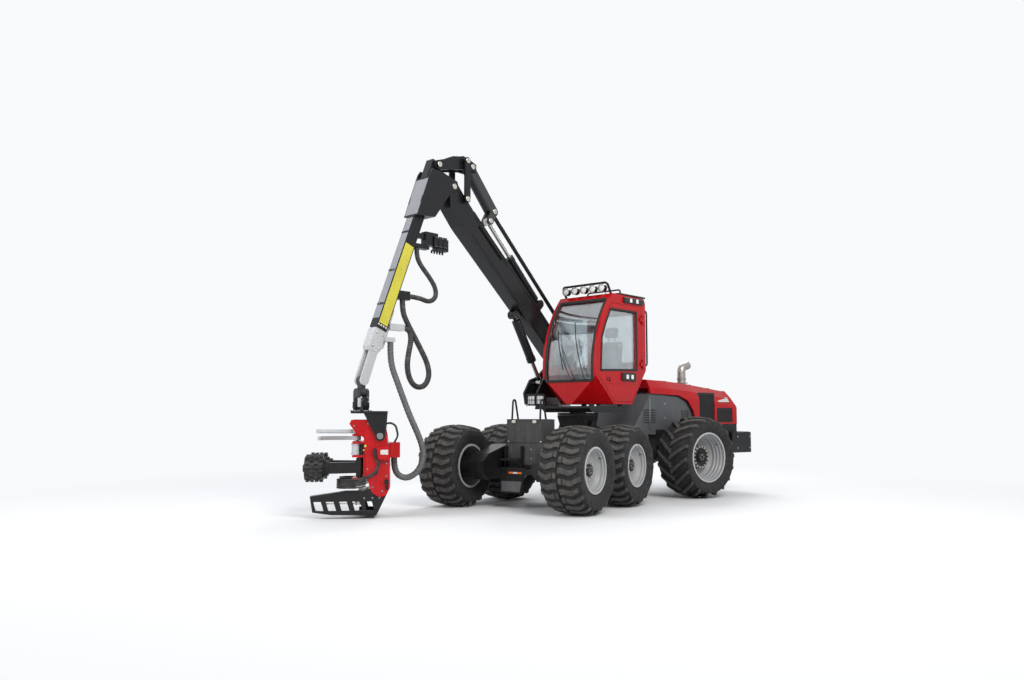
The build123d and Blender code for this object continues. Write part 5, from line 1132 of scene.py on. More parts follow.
# %% Roof and door trim
roof_plate = rounded_plate(oblong((-1.09, -0.22), (-0.35, 0.79)), 0.05, 0.028, 0.008)
hoop_corners = [(-0.52, -0.15, 3.69), (-0.52, -0.15, 3.81), (-0.52, 0.60, 3.81), (-0.52, 0.60, 3.69)]
second_hoop = tube(smooth_path(hoop_corners, 0.05), 0.016, 12, (1, 0, 0))
aerial = turned([(0.0, 0.0), (0.0, 0.03), (0.02, 0.026), (0.035, 0.008), (0.15, 0.006), (0.155, 0.0)], 14)
fit("roof_plate", "turret", "black_plastic", black_plastic,
    shifted(roof_plate, (0, 0, 3.677)), second_hoop, shifted(aerial, (-0.75, 0.1, 3.70)))
vents = [block((-0.99 + 0.045 * k, -0.965 + 0.045 * k), (-0.15, 0.60), (3.700, 3.708), 0.003)
         for k in range(7)]
fit("roof_vents", "turret", "black_plastic", seal_rubber, *vents)
crease = join(slab([(-0.80, 2.052), (0.40, 2.052), (0.392, 2.068), (-0.80, 2.068)], 0.006, 0.0028),
              slab([(-0.52, 1.80), (0.02, 1.80), (0.03, 1.808), (-0.53, 1.808)], 0.005, 0.002))
fit("door_crease", "door", "red_paint", red_paint, copies(crease, wall_left(0.817)))
pull_corners = [(0.130, 0.812, 2.135), (0.130, 0.832, 2.135), (0.208, 0.832, 2.135), (0.208, 0.812, 2.135)]
fit("door_fittings", "door", "black_plastic", black_plastic, tube(smooth_path(pull_corners, 0.008), 0.006, 8),
    nuts_at([(x, 0.856, 2.19) for x in (-0.60, -0.26)], (0, 1, 0), 0.005, 0.003),
    nuts_at([(-0.83, 0.8205, z) for z in (1.9, 2.44, 3.26)], (0, 1, 0), 0.009, 0.006))
print("roof vents", len(vents))

# %% [markdown]
# The driver's seat is upholstered foam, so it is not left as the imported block. A cushion is
# a puffed box: a ball whose directions are sharpened towards a box, then crowned on top,
# with sewn channels pressed in as narrow dips.

# %% Seat
SEAT_Y, ARM_OUT = 0.22, 0.315


def cushion(size, power=0.34, channels=(), crown=0.18, rows=56, columns=84):
    """Puffed box about the origin: sign(d) |d|^power on a ball's directions, times half the size."""
    tilt = np.linspace(-np.pi / 2, np.pi / 2, rows)[:, None]
    turn = np.linspace(0, 2 * np.pi, columns, endpoint=False)[None]
    sharp = [np.sign(v) * np.abs(v) ** power for v in (np.cos(tilt), np.cos(turn), np.sin(turn), np.sin(tilt))]
    x, y, z = sharp[0] * sharp[1], sharp[0] * sharp[2], sharp[3] + 0 * turn
    z = z * (1 + crown * (1 - x ** 2) * (1 - y ** 2))
    for axis, place in channels:
        dip = np.exp(-(((x if axis == "x" else y) - place) / 0.035) ** 2)
        z = z * (1 - 0.13 * dip)
    pinch = 1 - 0.035 * (1 - np.abs(z).clip(0, 1)) * np.cos(np.pi * np.clip(x, -1, 1)) ** 2
    points = np.stack([x * size[0] / 2 * pinch, y * size[1] / 2 * pinch, z * size[2] / 2], -1)
    return closed(grid(points, round_columns=True))


def tilted(shape, place, angle, turn=0.0):
    """The shape turned about the upright axis, then about Y, both in degrees, and then shifted."""
    c, s = math.cos(math.radians(angle)), math.sin(math.radians(angle))
    lean = np.array([[c, 0, s, place[0]], [0, 1, 0, place[1]], [-s, 0, c, place[2]], [0, 0, 0, 1]])
    return copies(shape, lean @ pose((0, 0, 0), turn))


def beside_seat(x, out, half, z, edge):
    """A block on each side of the seat, at a distance out from its middle."""
    return [block(x, (SEAT_Y + s * out - half, SEAT_Y + s * out + half), z, edge) for s in (-1, 1)]


pedestal = turned(
    [(1.762, 0.0), (1.762, 0.20), (1.78, 0.20), (1.80, 0.13), (1.85, 0.135), (1.88, 0.12), (1.91, 0.135),
     (1.94, 0.12), (1.97, 0.13), (2.00, 0.17), (2.035, 0.17), (2.035, 0.0)], 32)
back_shell = rounded_plate(oblong((-0.36, 0.36), (-0.21, 0.21)), 0.08, 0.03, 0.008)
posts = [tube([(-0.76, SEAT_Y + s, 2.85), (-0.80, SEAT_Y + s, 3.02)], 0.010, 10, (0, 1, 0))
         for s in (-0.07, 0.07)]
fit("seat_base", "turret", "black_plastic", black_plastic, shifted(pedestal, (-0.42, SEAT_Y, 0)),
    tilted(back_shell, (-0.765, SEAT_Y, 2.53), -98), *posts,
    *beside_seat((-0.60, -0.10), ARM_OUT, 0.03, (2.285, 2.315), 0.008),
    *beside_seat((-0.62, -0.54), 0.27, 0.012, (2.04, 2.30), 0.004))

squab = cushion((0.56, 0.52, 0.13), 0.34, (("x", -0.35), ("x", 0.25), ("y", -0.62), ("y", 0.62)))
back = cushion((0.70, 0.48, 0.12), 0.36, (("x", -0.45), ("x", 0.0), ("x", 0.45), ("y", -0.62), ("y", 0.62)))
head_rest = cushion((0.20, 0.28, 0.09), 0.45, (("y", 0.0),))
arm_rest = cushion((0.48, 0.085, 0.06), 0.4)
arm_rests = shifted(arm_rest, *[(-0.33, SEAT_Y + s * ARM_OUT, 2.345) for s in (-1, 1)])
for name, shape, fill, finish, old in (
        ("seat_cushion", tilted(squab, (-0.40, SEAT_Y, 2.105), -4), 0.75, seat_fabric, ("seat",)),
        ("seat_back", tilted(back, (-0.700, SEAT_Y, 2.53), -98), 0.75, seat_fabric, ()),
        ("seat_head_rest", tilted(head_rest, (-0.775, SEAT_Y, 3.05), -98), 0.8, seat_fabric, ()),
        ("seat_arm_rests", arm_rests, 0.8, seat_leather, ())):
    piece(name, at(TURRET, shape), "turret", finish, 60, old)
print("padded pieces 4, pieces", len(added))

# %% [markdown]
# Round the seat there are two sticks with keypads, a monitor on a bent post, two pedals, a
# ribbed floor mat and boxes along the wall. They are plain, because they only show through
# the glass.

# %% Inside the cab
MONITOR_AT, MONITOR_LEAN, MONITOR_TURN = (0.20, -0.13, 2.62), 12, 28
PEDAL_Y = (0.08, 0.36)
stick = turned([(0.0, 0.0), (0.0, 0.030), (0.012, 0.030), (0.02, 0.012), (0.07, 0.012), (0.085, 0.024),
                (0.15, 0.027), (0.17, 0.018), (0.175, 0.0)], 20)
sticks = placed(stick, [(-0.07, SEAT_Y + s * ARM_OUT, 2.33) for s in (-1, 1)], (0.12, 0, 1))
keypads = beside_seat((-0.16, -0.02), ARM_OUT, 0.065, (2.30, 2.335), 0.008)
monitor_box = block((-0.012, 0.012), (-0.15, 0.15), (-0.10, 0.10), 0.008)
monitor = tilted(monitor_box, MONITOR_AT, MONITOR_LEAN, MONITOR_TURN)
monitor_post = tube([(0.22, -0.26, 1.78), (0.24, -0.22, 2.3), (0.215, -0.15, 2.58)], 0.014, 10, (0, 1, 0))
pedal = block((-0.09, 0.09), (-0.045, 0.045), (-0.01, 0.01), 0.005)
pedals = [tilted(pedal, (0.28, y, 1.90), -35) for y in PEDAL_Y]
pedal_feet = [tube([(0.30, y, 1.77), (0.27, y, 1.90)], 0.012, 8, (0, 1, 0)) for y in PEDAL_Y]
wall_boxes = [block((-0.85, -0.30), (-0.30, -0.20), (1.77, 2.28), 0.02),
              block((-0.93, -0.84), (-0.18, 0.60), (1.77, 2.36), 0.02)]
fit("cab_controls", "turret", "black_plastic", black_plastic,
    sticks, *keypads, monitor, monitor_post, *pedals, *pedal_feet, *wall_boxes)
mat = block((-0.88, 0.30), (-0.28, 0.46), (1.7605, 1.768), 0.003)
mat_ribs = [block((x, x + 0.02), (-0.26, 0.44), (1.767, 1.772), 0.002)
            for x in np.arange(-0.84, 0.28, 0.05)]
dash = rounded_plate(oblong((-0.28, 0.66), (1.96, 2.10)), 0.03, 0.10, 0.02)
fit("cab_floor", "turret", "black_plastic", black_plastic, mat, *mat_ribs, copies(dash, wall_front(0.32)))
liner = rounded_plate(oblong((-0.88, -0.03), (-0.28, 0.72)), 0.06, 0.010, 0.003)
fit("cab_headliner", "turret", "pale_steel", label_pale, shifted(liner, (0, 0, 3.606)))
face = block((-0.0145, -0.0125), (-0.135, 0.135), (-0.085, 0.085), 0.0008)
fit("monitor_face", "turret", "cab_glass", seal_rubber, tilted(face, MONITOR_AT, MONITOR_LEAN, MONITOR_TURN))
print("floor mat's ribs", len(mat_ribs))

# %% [markdown]
# The hood is two pressed halves and a tail, so seams cross it and catches hold it. Behind
# the big openings there is a woven screen: two sets of thin wires laid crosswise. The
# panels under the hood carry louvres and a black rubber edge.

# %% Hood screens
HOOD_RIDGE = ((-1.19, 2.21), (-3.64, 1.99))
HOOD_HALF = 0.64


def hood_section(x, out=0.0):
    """Points over the hood at one place along it: sides, shoulders and ridge, moved out a little."""
    share = (x - HOOD_RIDGE[0][0]) / (HOOD_RIDGE[1][0] - HOOD_RIDGE[0][0])
    top = HOOD_RIDGE[0][1] + (HOOD_RIDGE[1][1] - HOOD_RIDGE[0][1]) * share ** 1.6
    wide = HOOD_HALF + out
    y = np.array([-wide, -wide, -0.52, 0.0, 0.52, wide, wide])
    flank = [top - 0.50, top - 0.33, top - 0.04 + out]
    z = np.array([*flank, top + out, *flank[::-1]])
    return np.stack([np.full(7, x), y, z], 1)


def wire_screen(x, z, pitch=0.022, wire=0.0022):
    """Woven wires over a rectangle in XY: thin strips both ways, one set above the other."""
    along = np.arange(x[0] + pitch / 2, x[1], pitch)
    up = np.arange(z[0] + pitch / 2, z[1], pitch)
    tall = block((-wire, wire), (z[0], z[1]), (0.0, 0.003), 0.001)
    wide = block((x[0], x[1]), (-wire, wire), (0.002, 0.005), 0.001)
    return join(shifted(tall, *[(a, 0, 0) for a in along]), shifted(wide, *[(0, u, 0) for u in up]))


side_screens = join(wire_screen((-2.94, -2.49), (1.40, 1.92)), wire_screen((-3.49, -3.02), (1.37, 1.64)))
side_frames = join(ring_plate(oblong((-2.965, -2.465), (1.375, 1.945)), 0.02, 0.018, 0.010),
                   ring_plate(oblong((-3.515, -2.995), (1.345, 1.665)), 0.02, 0.018, 0.010))
back_screen = wire_screen((-0.47, 0.47), (1.40, 1.63))
back_frame = ring_plate(oblong((-0.50, 0.50), (1.375, 1.655)), 0.02, 0.018, 0.010)
print("screen wires", [len(shape[0]) // 16 for shape in (side_screens, back_screen)])

# %% Hood louvres, plates, catches and seams
louvre_plates = [rounded_plate(oblong((-2.05 - 0.055 * k, -2.02 - 0.055 * k), (1.40, 1.60)), 0.01, 0.008)
                 for k in range(4)]
louvre_plates += [rounded_plate(oblong((-1.30, -0.98), (1.36 + 0.045 * k, 1.385 + 0.045 * k)), 0.008, 0.008)
                  for k in range(6)]
louvres = join(*louvre_plates)
blank = rounded_plate(oblong((-0.17, 0.17), (0.03, 0.14)), 0.012, 0.006, 0.0015)
shoulder = np.array([[1.0, 0, 0, -3.24], [0, -0.506, 0.863, 0.693], [0, 0.863, 0.506, 1.738], [0, 0, 0, 1]])
catch = join(rounded_plate(oblong((-0.03, 0.03), (-0.02, 0.02)), 0.008, 0.010),
             turned([(0.010, 0.0), (0.010, 0.010), (0.016, 0.009), (0.016, 0.0)], 12))
CATCHES = ((-0.80, 1.30), (-1.55, 1.45), (-1.55, 1.72), (-2.25, 1.30))
panel_post = block((-1.16, -1.13), (0.636, 0.648), (1.26, 1.80), 0.004)
lower_edge = np.array([(-1.19, 1.904), (-1.55, 1.893), (-1.9, 1.874), (-2.15, 1.774), (-2.3, 1.574),
                       (-2.37, 1.36)])
edge_route = np.column_stack([lower_edge[:, 0], np.full(6, 0.642), lower_edge[:, 1] - 0.008])
edge_rubber = tube(smooth_path(edge_route, 0.05, 4), 0.009, 8, (0, 1, 0))

for side, label in SIDES:
    flip = to_side(side)
    catches = copies(catch, [flip @ pose((x, 0, z)) @ wall_left(0.640) for x, z in CATCHES])
    for name, slot, finish, shape in (
            ("side_screens_", "black_plastic", seal_rubber, copies(side_screens, flip @ wall_left(0.664))),
            ("screen_frames_", "black_plastic", black_plastic, copies(side_frames, flip @ wall_left(0.660))),
            ("blank_plate_", "pale_steel", label_pale, copies(blank, flip @ shoulder)),
            ("louvres_", "black_plastic", black_plastic, copies(louvres, flip @ wall_left(0.638))),
            ("panel_catches_", "bare_steel", worn_steel, join(catches, copies(panel_post, flip))),
            ("panel_edge_", "black_plastic", seal_rubber, copies(edge_rubber, flip))):
        fit(name + label, "rear", slot, finish, shape)

seams = [tube(hood_section(x, 0.001)[1:6], 0.0045, 6, (1, 0, 0)) for x in (-1.72, -2.44, -2.985)]
fit("hood_seams", "rear", "black_plastic", seal_rubber, *seams)
fit("back_screen", "rear", "black_plastic", seal_rubber, copies(back_screen, ABOUT @ wall_front(3.634)))
fit("back_frame", "rear", "black_plastic", black_plastic, copies(back_frame, ABOUT @ wall_front(3.630)))
print("louvres a side", len(louvre_plates), "seams", len(seams))

# %% [markdown]
# The bumper at the rear is a thick block with a rough step on it. A clamp and a flange
# hold the exhaust's elbow, and three hoses a side cross the centre joint in slack loops.

# %% Bumper, exhaust clamp and centre hoses
step_studs = tread_plate((-3.76, -3.52), (-0.86, 0.86), 1.170)
step_plate = block((-3.775, -3.48), (-0.88, 0.88), (1.1695, 1.176), 0.003)
fit("bumper_step", "rear", "grey_paint", grey_paint, step_plate, shifted(step_studs, (0, 0, 0.006)))
pads = [block((-3.792, -3.779), (y - 0.13, y + 0.13), (0.86, 1.08), 0.005) for y in (-0.60, 0.60)]
fit("bumper_pads", "rear", "black_paint", black_paint, *pads)
tail_lamp = block((-0.006, 0.006), (-0.055, 0.055), (-0.03, 0.03), 0.003)
fit("tail_lamps", "rear", "cab_glass", orange_reflector,
    shifted(tail_lamp, *[(-3.797, y, 1.03) for y in (-0.62, 0.62)]))
back_places = [(-3.78, y, z) for y in (-0.40, -0.25, 0.25, 0.40) for z in (0.84, 1.10)]
end_places = [(x, 0.951, z) for x in (-3.68, -3.30) for z in (0.86, 1.08)]
back_nuts = nuts_at(back_places, (-1, 0, 0), 0.016, 0.014)
end_nuts = nuts_at(end_places, (0, 1, 0), 0.016, 0.014)
fit("bumper_bolts", "rear", "bare_steel", worn_steel, back_nuts, end_nuts, copies(end_nuts, ACROSS))
fit("exhaust_clamp", "rear", "bare_steel", worn_steel,
    shifted(collar(0.082, 0.090, 0.03), (-2.39, 0.33, 2.20)),
    shifted(collar(0.083, 0.125, 0.014), (-2.39, 0.33, 2.13)))
loops = [tube(smooth_path([(-0.70 + 0.04 * k, 0.10 + 0.05 * k, 1.22), (-0.56, 0.15 + 0.05 * k, 1.29),
                           (-0.50, 0.12 + 0.05 * k, 1.26), (-0.48, 0.10 + 0.05 * k, 1.02)], 0.06),
              0.014, 10, (0, 1, 0.2)) for k in range(3)]
fit("centre_hoses", "rear", "hose_rubber", hose_rubber, *loops, *[copies(loop, ACROSS) for loop in loops])
print("pieces", len(added))

# %% [markdown]
# The crane lies in one upright plane, so its details are drawn as flat outlines in that
# plane and raised from the side faces. Each joint has a pin whose head shows as a bright
# ring with a dark middle. Ribs and the bare yellow panel are thin plates.

# %% Crane pins
PIN_HEAD = turned([(0.0, 0.0), (0.0, 0.046), (0.010, 0.046), (0.014, 0.041), (0.014, 0.024),
                   (0.005, 0.020), (0.005, 0.0)], 28)
THIN_HEAD = turned([(0.0, 0.0), (0.0, 0.046), (0.004, 0.046), (0.006, 0.043), (0.006, 0.024),
                    (0.002, 0.020), (0.002, 0.0)], 28)


def both_sides(shape, points, reach):
    """The shape at each crane point (along, up), on both side faces at a distance from the middle."""
    return join(*[placed(shape, [(f, CRANE_Y + side * reach, z) for f, z in points], (0, side, 0))
                  for side in (1, -1)])


# body, pin head, crane points (along, up), distance from the crane's middle
CRANE_PINS = (
    ("rocker", PIN_HEAD, [(2.29, 5.85), (2.29, 5.18)], 0.21),
    ("jib", THIN_HEAD, [(2.90, 5.66), (2.56, 5.35)], 0.1685),
    ("top_link", PIN_HEAD, [(2.09, 5.80)], 0.128),
    ("push_link", PIN_HEAD, [(1.602, 4.938), (1.50, 5.12)], 0.086),
    ("turret", PIN_HEAD, [(-0.45, 2.50), (0.18, 2.11)], 0.183),
)
for body, head, points, reach in CRANE_PINS:
    fit("pins_" + body, body, "bare_steel", zinc, both_sides(head, points, reach))
print("crane pins", sum(len(row[2]) for row in CRANE_PINS))

# %% Crane ribs, panels and bolts
BOOM = (-0.45, 2.50), (2.56, 5.35)
JIB = (2.878, 5.716), (4.01, 2.83)


def along_line(ends, spans):
    """Corners (along, across) in a bar's own axes, carried into the crane's plane."""
    start, end = np.array(ends)
    d = (end - start) / np.linalg.norm(end - start)
    spans = np.asarray(spans, float)
    return start + spans[:, :1] * d + spans[:, 1:] * np.array([-d[1], d[0]])


def side_plate(outline, reach, thick, edge=0.003, sides=(1, -1)):
    """Plate drawn in the crane's plane and raised outwards from one or both side faces."""
    raised = slab(outline, thick, edge)
    return join(*[copies(raised, wall_left(CRANE_Y + side * reach, side)) for side in sides])


def front_plate(start, end, half_wide, thick=0.003):
    """Plate on the jib's front, between two places (along, across) in the jib's own axes."""
    a, b = along_line(JIB, [start, end])
    length = np.linalg.norm(b - a)
    d = (b - a) / length
    matrix = np.eye(4)
    matrix[:3, 0], matrix[:3, 2] = (d[0], 0, d[1]), (-d[1], 0, d[0])
    matrix[:3, 1] = np.cross(matrix[:3, 2], matrix[:3, 0])
    matrix[:3, 3] = (a[0], CRANE_Y, a[1])
    return copies(rounded_plate(oblong((0.0, length), (-half_wide, half_wide)), 0.01, thick, 0.001), matrix)


# start and end along the boom, distance across it at each, width
BOOM_RIBS = (
    (0.55, 3.55, 0.118, 0.085, 0.018), (2.35, 3.50, 0.055, 0.030, 0.012),
    (2.55, 3.30, 0.015, -0.005, 0.010), (0.65, 3.30, -0.195, -0.225, 0.014),
)
# start and end along the jib, distance across it
JIB_RIBS = ((0.62, 1.02, 0.03), (1.08, 1.45, -0.02), (0.62, 1.45, -0.085))
ribs = [rounded(along_line(BOOM, [(a, c), (b, d), (b, d + w), (a, c + w)]), 0.006, 2)
        for a, b, c, d, w in BOOM_RIBS]
fit("boom_ribs", "boom", "black_paint", black_paint, *[side_plate(rib, 0.129, 0.008) for rib in ribs])
ribs = [rounded(along_line(JIB, oblong((a, b), (c, c + 0.014))), 0.005, 2) for a, b, c in JIB_RIBS]
fit("jib_ribs", "jib", "black_paint", black_paint, *[side_plate(rib, 0.084, 0.007) for rib in ribs])
panel = rounded(along_line(JIB, oblong((1.60, 3.02), (-0.088, 0.088))), 0.008, 3)
fit("yellow_panel", "jib", "grey_paint", plate_yellow, side_plate(panel, 0.0848, 0.003, 0.001, (1,)))
end_points = along_line(JIB, [(3.05, v) for v in (-0.075, -0.025, 0.025, 0.075)])
fit("jib_bolts", "jib", "bare_steel", zinc, both_sides(nut(0.014, 0.012), end_points, 0.085))
collar_points = along_line(JIB, [(u, v) for u in (3.18, 3.40) for v in (-0.06, 0.06)])
fit("collar_bolts", "extension", "bare_steel", zinc, both_sides(nut(0.015, 0.012), collar_points, 0.097))
plates = [front_plate((1.14, 0.105), (2.95, 0.105), 0.078), front_plate((0.41, 0.1225), (1.08, 0.1055), 0.155)]
welds = [front_plate((u, 0.107), (u + 0.012, 0.107), 0.080, 0.006) for u in (1.40, 2.10, 2.70)]
fit("jib_front", "jib", "grey_paint", pale_grey, *plates, *welds)
print("ribs", len(BOOM_RIBS) + len(JIB_RIBS), "plates on the jib's front", len(plates))

# %% [markdown]
# Four steel pipes run along the boom's right side, held by clips. The valve box on the jib
# has three lids, with spools that stick out below.

# %% Pipes, clips and valves
PIPE_Y, PIPE_GAP = CRANE_Y - 0.130 - 0.014, 0.032
BOOM_NORMAL = np.array([-0.6875, 0.7262])
pipe_line = along_line(BOOM, [(0.45, 0.02), (1.5, 0.03), (2.6, 0.02), (3.70, -0.06)])
rows = [pipe_line + BOOM_NORMAL * ((k - 1.5) * PIPE_GAP) for k in range(4)]
pipes = [tube([(f, PIPE_Y, z) for f, z in row], 0.010, 10, (0, 1, 0)) for row in rows]
clips = [side_plate(along_line(BOOM, oblong((u, u + 0.04), (-0.06, 0.10))), 0.129, 0.030, 0.004, (-1,))
         for u in (0.75, 1.35, 1.95, 2.55, 3.15)]
fit("boom_pipes", "boom", "bare_steel", worn_steel, *pipes)
fit("boom_clips", "boom", "black_plastic", black_plastic, *clips)
LIDS = (2.65, 2.75, 2.85)
valve_lids = [block((x, x + 0.085), (-0.676, -0.664), (4.27, 4.46), 0.006) for x in LIDS]
spool = turned([(0.0, 0.0), (0.0, 0.016), (0.05, 0.016), (0.055, 0.010), (0.055, 0.0)], 14)
spools = placed(spool, [(2.68 + 0.06 * k, -0.75, 4.232) for k in range(5)], (0, 0, -1))
fit("valve_lids", "jib", "black_paint", black_paint, *valve_lids, spools)
lid_nuts = [(x + dx, -0.664, z) for x in LIDS for dx in (0.02, 0.06) for z in (4.29, 4.44)]
fit("valve_nuts", "jib", "bare_steel", worn_steel, nuts_at(lid_nuts, (0, 1, 0), 0.006, 0.006))
print("pipes", len(pipes), "clips", len(clips))

# %% [markdown]
# The felling head is crowded: bolts ring every bearing, a cover with a grille shields its
# valves, and each knife and roller has a turned foot or cap. What is on both sides is drawn
# once, on the left.

# %% Head: bearings and bolts
LOBE_CIRCLE, ROLLER_Y, ROLLER_HIGH = 0.105, 0.33, 0.74
lobe = turned([(1.600, 0.0), (1.600, 0.050), (1.615, 0.058), (1.700, 0.058), (1.715, 0.045), (1.765, 0.045),
               (1.775, 0.035), (1.775, 0.0)], 24)
lobe_places = [(LOBE_CIRCLE * math.cos(a), LOBE_CIRCLE * math.sin(a), 0) for a in (0.9, 2.3, 4.4)]
fit("rotator_lobes", "rotator", "black_paint", black_paint, shifted(lobe, *lobe_places))
sleeve = turned([(1.63, 0.0), (1.63, 0.026), (1.76, 0.026), (1.765, 0.02), (1.765, 0.0)], 20)
fit("rotator_sleeve", "rotator", "pale_steel", pale_paint, shifted(sleeve, (0.02, 0.135, 0)))
fit("bracket_bolts", "bracket", "bare_steel", worn_steel,
    nuts_at(ring_of(10, 0.155, 0.2, 1.567), (0, 0, 1), 0.013, 0.013),
    *[placed(PIN_HEAD, [(-0.30, s * 0.363, 1.20)], (0, s, 0)) for s in (-1, 1)])
rim_nuts = [(0.08, 1.35), (-0.08, 1.05), (-0.12, 0.72), (-0.20, 0.46), (-0.34, 0.40), (-0.40, 0.62),
            (-0.12, 1.38), (-0.40, 0.80)]
fit("head_bolts", "head", "bare_steel", worn_steel,
    *[nuts_at([(x, s * 0.315, z) for x, z in rim_nuts], (0, s, 0), 0.010, 0.008) for s in (-1, 1)])
print("head bolts a side", len(rim_nuts))

# %% Head: covers, knife feet and roller caps
cover = rounded_plate([(-0.45, 0.84), (-0.27, 0.86), (-0.25, 1.03), (-0.43, 1.06)], 0.02, 0.075, 0.014)
grille = rounded_plate([(-0.265, 0.87), (-0.225, 0.875), (-0.205, 1.02), (-0.245, 1.03)], 0.006, 0.055, 0.006)
slats = join(*[block((-0.262 + 0.004 * k, -0.222 + 0.004 * k), (0.370, 0.374),
                     (0.885 + 0.022 * k, 0.893 + 0.022 * k), 0.0015) for k in range(6)])
tag = rounded_plate([(-0.42, 0.93), (-0.31, 0.935), (-0.31, 1.00), (-0.42, 1.005)], 0.005, 0.003, 0.001)
knife_foot = turned([(0.926, 0.0), (0.926, 0.062), (0.960, 0.062), (0.965, 0.055), (1.060, 0.055),
                     (1.065, 0.062), (1.094, 0.062), (1.094, 0.0)], 28)
roller_cap = turned([(0.0, 0.0), (0.0, 0.075), (0.012, 0.075), (0.018, 0.060), (0.030, 0.052), (0.034, 0.0)], 28)
cap_bolts = nuts_at(ring_of(6, 0.040, 0.0, 0.026), (0, 0, 1), 0.007, 0.007)
# Dark squares on each roller's end are painted shade where its end has holes.
hole_shade_square = rounded_plate(oblong((-0.020, 0.020), (-0.020, 0.020)), 0.004, 0.003, 0.001)
roller_hole_shades = placed(hole_shade_square, ring_of(8, 0.125, 0.0, -0.001), (0, 0, 1))
rib_turn = np.radians(np.linspace(32, 128, 40))
for s, label in SIDES:
    flip = to_side(s)
    fit("valve_cover_" + label, "head", "red_paint", red_paint, copies(cover, flip @ wall_left(0.314)))
    fit("cover_grille_" + label, "head", "black_plastic", seal_rubber,
        copies(grille, flip @ wall_left(0.314)), copies(slats, flip))
    fit("cover_tag_" + label, "head", "pale_steel", label_pale, copies(tag, flip @ wall_left(0.3885)))
    fit("knife_foot_" + label, "knife_" + label, "pale_steel", pale_paint,
        shifted(knife_foot, (0.06, s * 0.22, 0)))
    knife_high = 1.262 if s > 0 else 1.152
    arc = [0.33 + 0.336 * np.cos(rib_turn), s * 0.336 * np.sin(rib_turn), np.full(40, knife_high + 0.006)]
    fit("knife_rib_" + label, "knife_" + label, "pale_steel", pale_paint, tube(np.stack(arc, 1), 0.010, 8))
    end_face = HEAD @ stand([(0.768, s * ROLLER_Y, ROLLER_HIGH)], (1, 0, 0))[0]
    body = "roller_" + label
    piece("roller_cap_" + label, at(end_face, roller_cap, cap_bolts), body, black_paint)
    # Painted shade for the holes in the roller's end.
    piece("roller_hole_shades_" + label, at(end_face, roller_hole_shades), body, seal_rubber)
print("pieces", len(added))

# %% [markdown]
# The head's hoses are smooth paths through a few corners. Five lie above each other as
# loops below each feed arm, two cross the frame's side, and seven loop over its back.


# %% Head: hoses
def hose_run(corners, radius, bend=0.06, up=(0.3, 0.2, 1)):
    """Hose through corners, bending over a set distance at each."""
    return tube(smooth_path(corners, bend, 5), radius, 10, up)


coils = [hose_run([(-0.10, 0.318, z + 0.02), (0.02, 0.35, z), (0.25, 0.355, z), (0.33, 0.25, z),
                   (0.27, 0.12, z), (0.05, 0.10, z + 0.004)], 0.0125)
         for z in (0.452, 0.481, 0.510, 0.539, 0.568)]
crossing = [hose_run([(-0.24 - 0.03 * k, 0.322, 0.93), (-0.29 - 0.02 * k, 0.345, 0.80),
                      (-0.22, 0.350, 0.66 - 0.03 * k), (-0.09, 0.335, 0.60 - 0.03 * k),
                      (0.02, 0.34, 0.575 - 0.03 * k)], 0.012) for k in range(2)]
drop_corners = [(-0.21, 0.320, 0.96), (-0.255, 0.345, 0.90), (-0.275, 0.350, 0.76), (-0.255, 0.322, 0.64)]
drop_hose = hose_run(drop_corners, 0.013)
rear_loops = [hose_run([(-0.50, y, 1.09), (-0.56, y, 1.20), (-0.52, y, 1.36), (-0.42, y, 1.40),
                        (-0.36, y * 0.9, 1.36)], 0.014, 0.05, (0, 1, 0))
              for y in (-0.14, -0.09, -0.04, 0.01, 0.06, 0.11, 0.16)]
low_coils = [copies(coil, ACROSS) for coil in coils]
fit("head_hoses", "head", "hose_rubber", hose_rubber, *coils, *crossing, drop_hose, *rear_loops, *low_coils)
print("hoses on the head", len(coils + crossing + rear_loops + low_coils) + 1)

# %% [markdown]
# Each feed arm ends in a motor that reaches into its roller, and turned columns carry the
# arms. The last small things are tags, valves, a hook and the bolts of the saw's box.

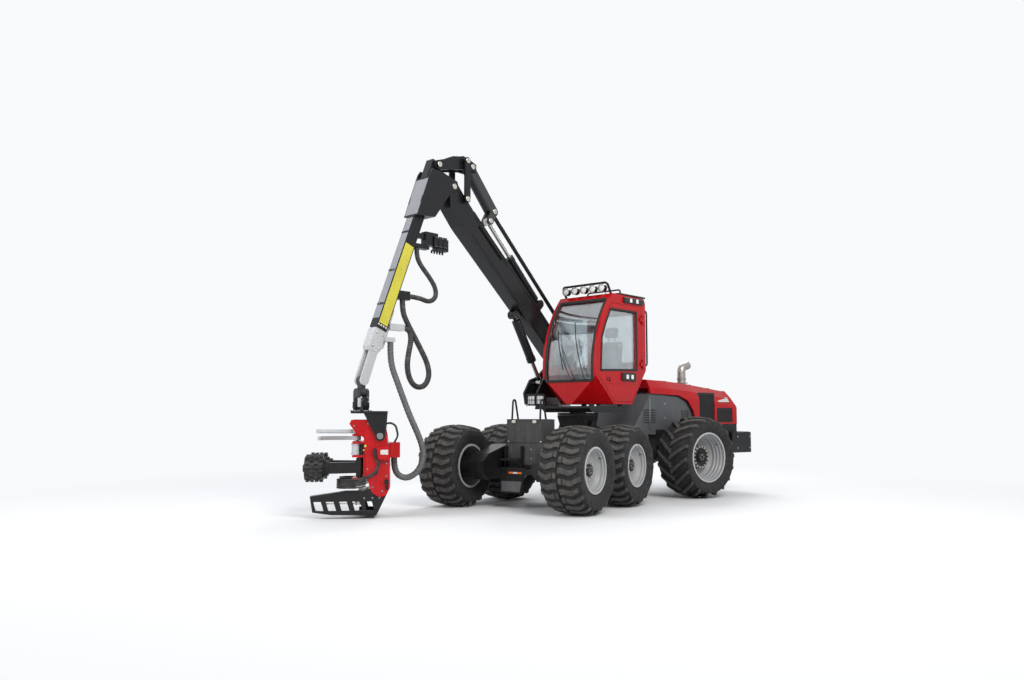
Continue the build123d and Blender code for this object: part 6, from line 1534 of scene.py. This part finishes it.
# %% Head: motors, columns and small parts
motor = turned([(0.0, 0.0), (0.0, 0.085), (0.02, 0.085), (0.03, 0.105), (0.055, 0.105), (0.06, 0.135),
                (0.082, 0.135), (0.082, 0.0)], 32)
motor_bolts = nuts_at(ring_of(10, 0.118, 0.1, 0.056), (0, 0, -1), 0.009, 0.008)
for s, label in SIDES:
    motor_at = HEAD @ stand([(0.425, s * ROLLER_Y, ROLLER_HIGH)], (1, 0, 0))[0]
    piece("roller_motor_" + label, at(motor_at, motor, motor_bolts), "feed_arm_" + label,
          black_paint)
column = turned([(0.925, 0.0), (0.925, 0.040), (0.945, 0.040), (0.950, 0.052), (0.968, 0.052), (0.972, 0.036),
                 (1.005, 0.036), (1.010, 0.050), (1.030, 0.050), (1.035, 0.036), (1.070, 0.036), (1.075, 0.046),
                 (1.092, 0.046), (1.092, 0.0)], 24)
fit("arm_columns", "head", "black_paint", black_paint,
    shifted(column, (-0.045, 0.245, 0), (-0.045, -0.245, 0)))
fit("yellow_tags", "head", "grey_paint", plate_yellow,
    block((-0.10, -0.075), (0.314, 0.326), (1.04, 1.075), 0.003),
    block((-0.075, -0.055), (0.314, 0.324), (0.985, 1.01), 0.003))
fit("head_small_valves", "head", "black_paint", black_paint,
    block((-0.43, -0.37), (0.314, 0.350), (0.50, 0.57), 0.006),
    block((-0.425, -0.385), (0.314, 0.340), (0.42, 0.48), 0.005))
hook_corners = [(-0.17, 0.312, 0.93), (-0.17, 0.34, 0.94), (-0.24, 0.34, 0.97), (-0.24, 0.312, 0.97)]
fit("head_hook", "head", "red_paint", red_paint, tube(smooth_path(hook_corners, 0.012), 0.008, 8))
fit("saw_box_bolts", "head", "bare_steel", worn_steel,
    *[nuts_at([(x, s * 0.29, 0.30) for x in (-0.30, -0.20, -0.08)], (0, s, 0), 0.011, 0.010) for s in (1, -1)])
print("pieces", len(added))

# %% [markdown]
# Last, the number of pieces and the triangles they add are printed.

# %% Count of pieces and triangles added
print("pieces", len(added), "triangles added", sum(n for _, n in added))
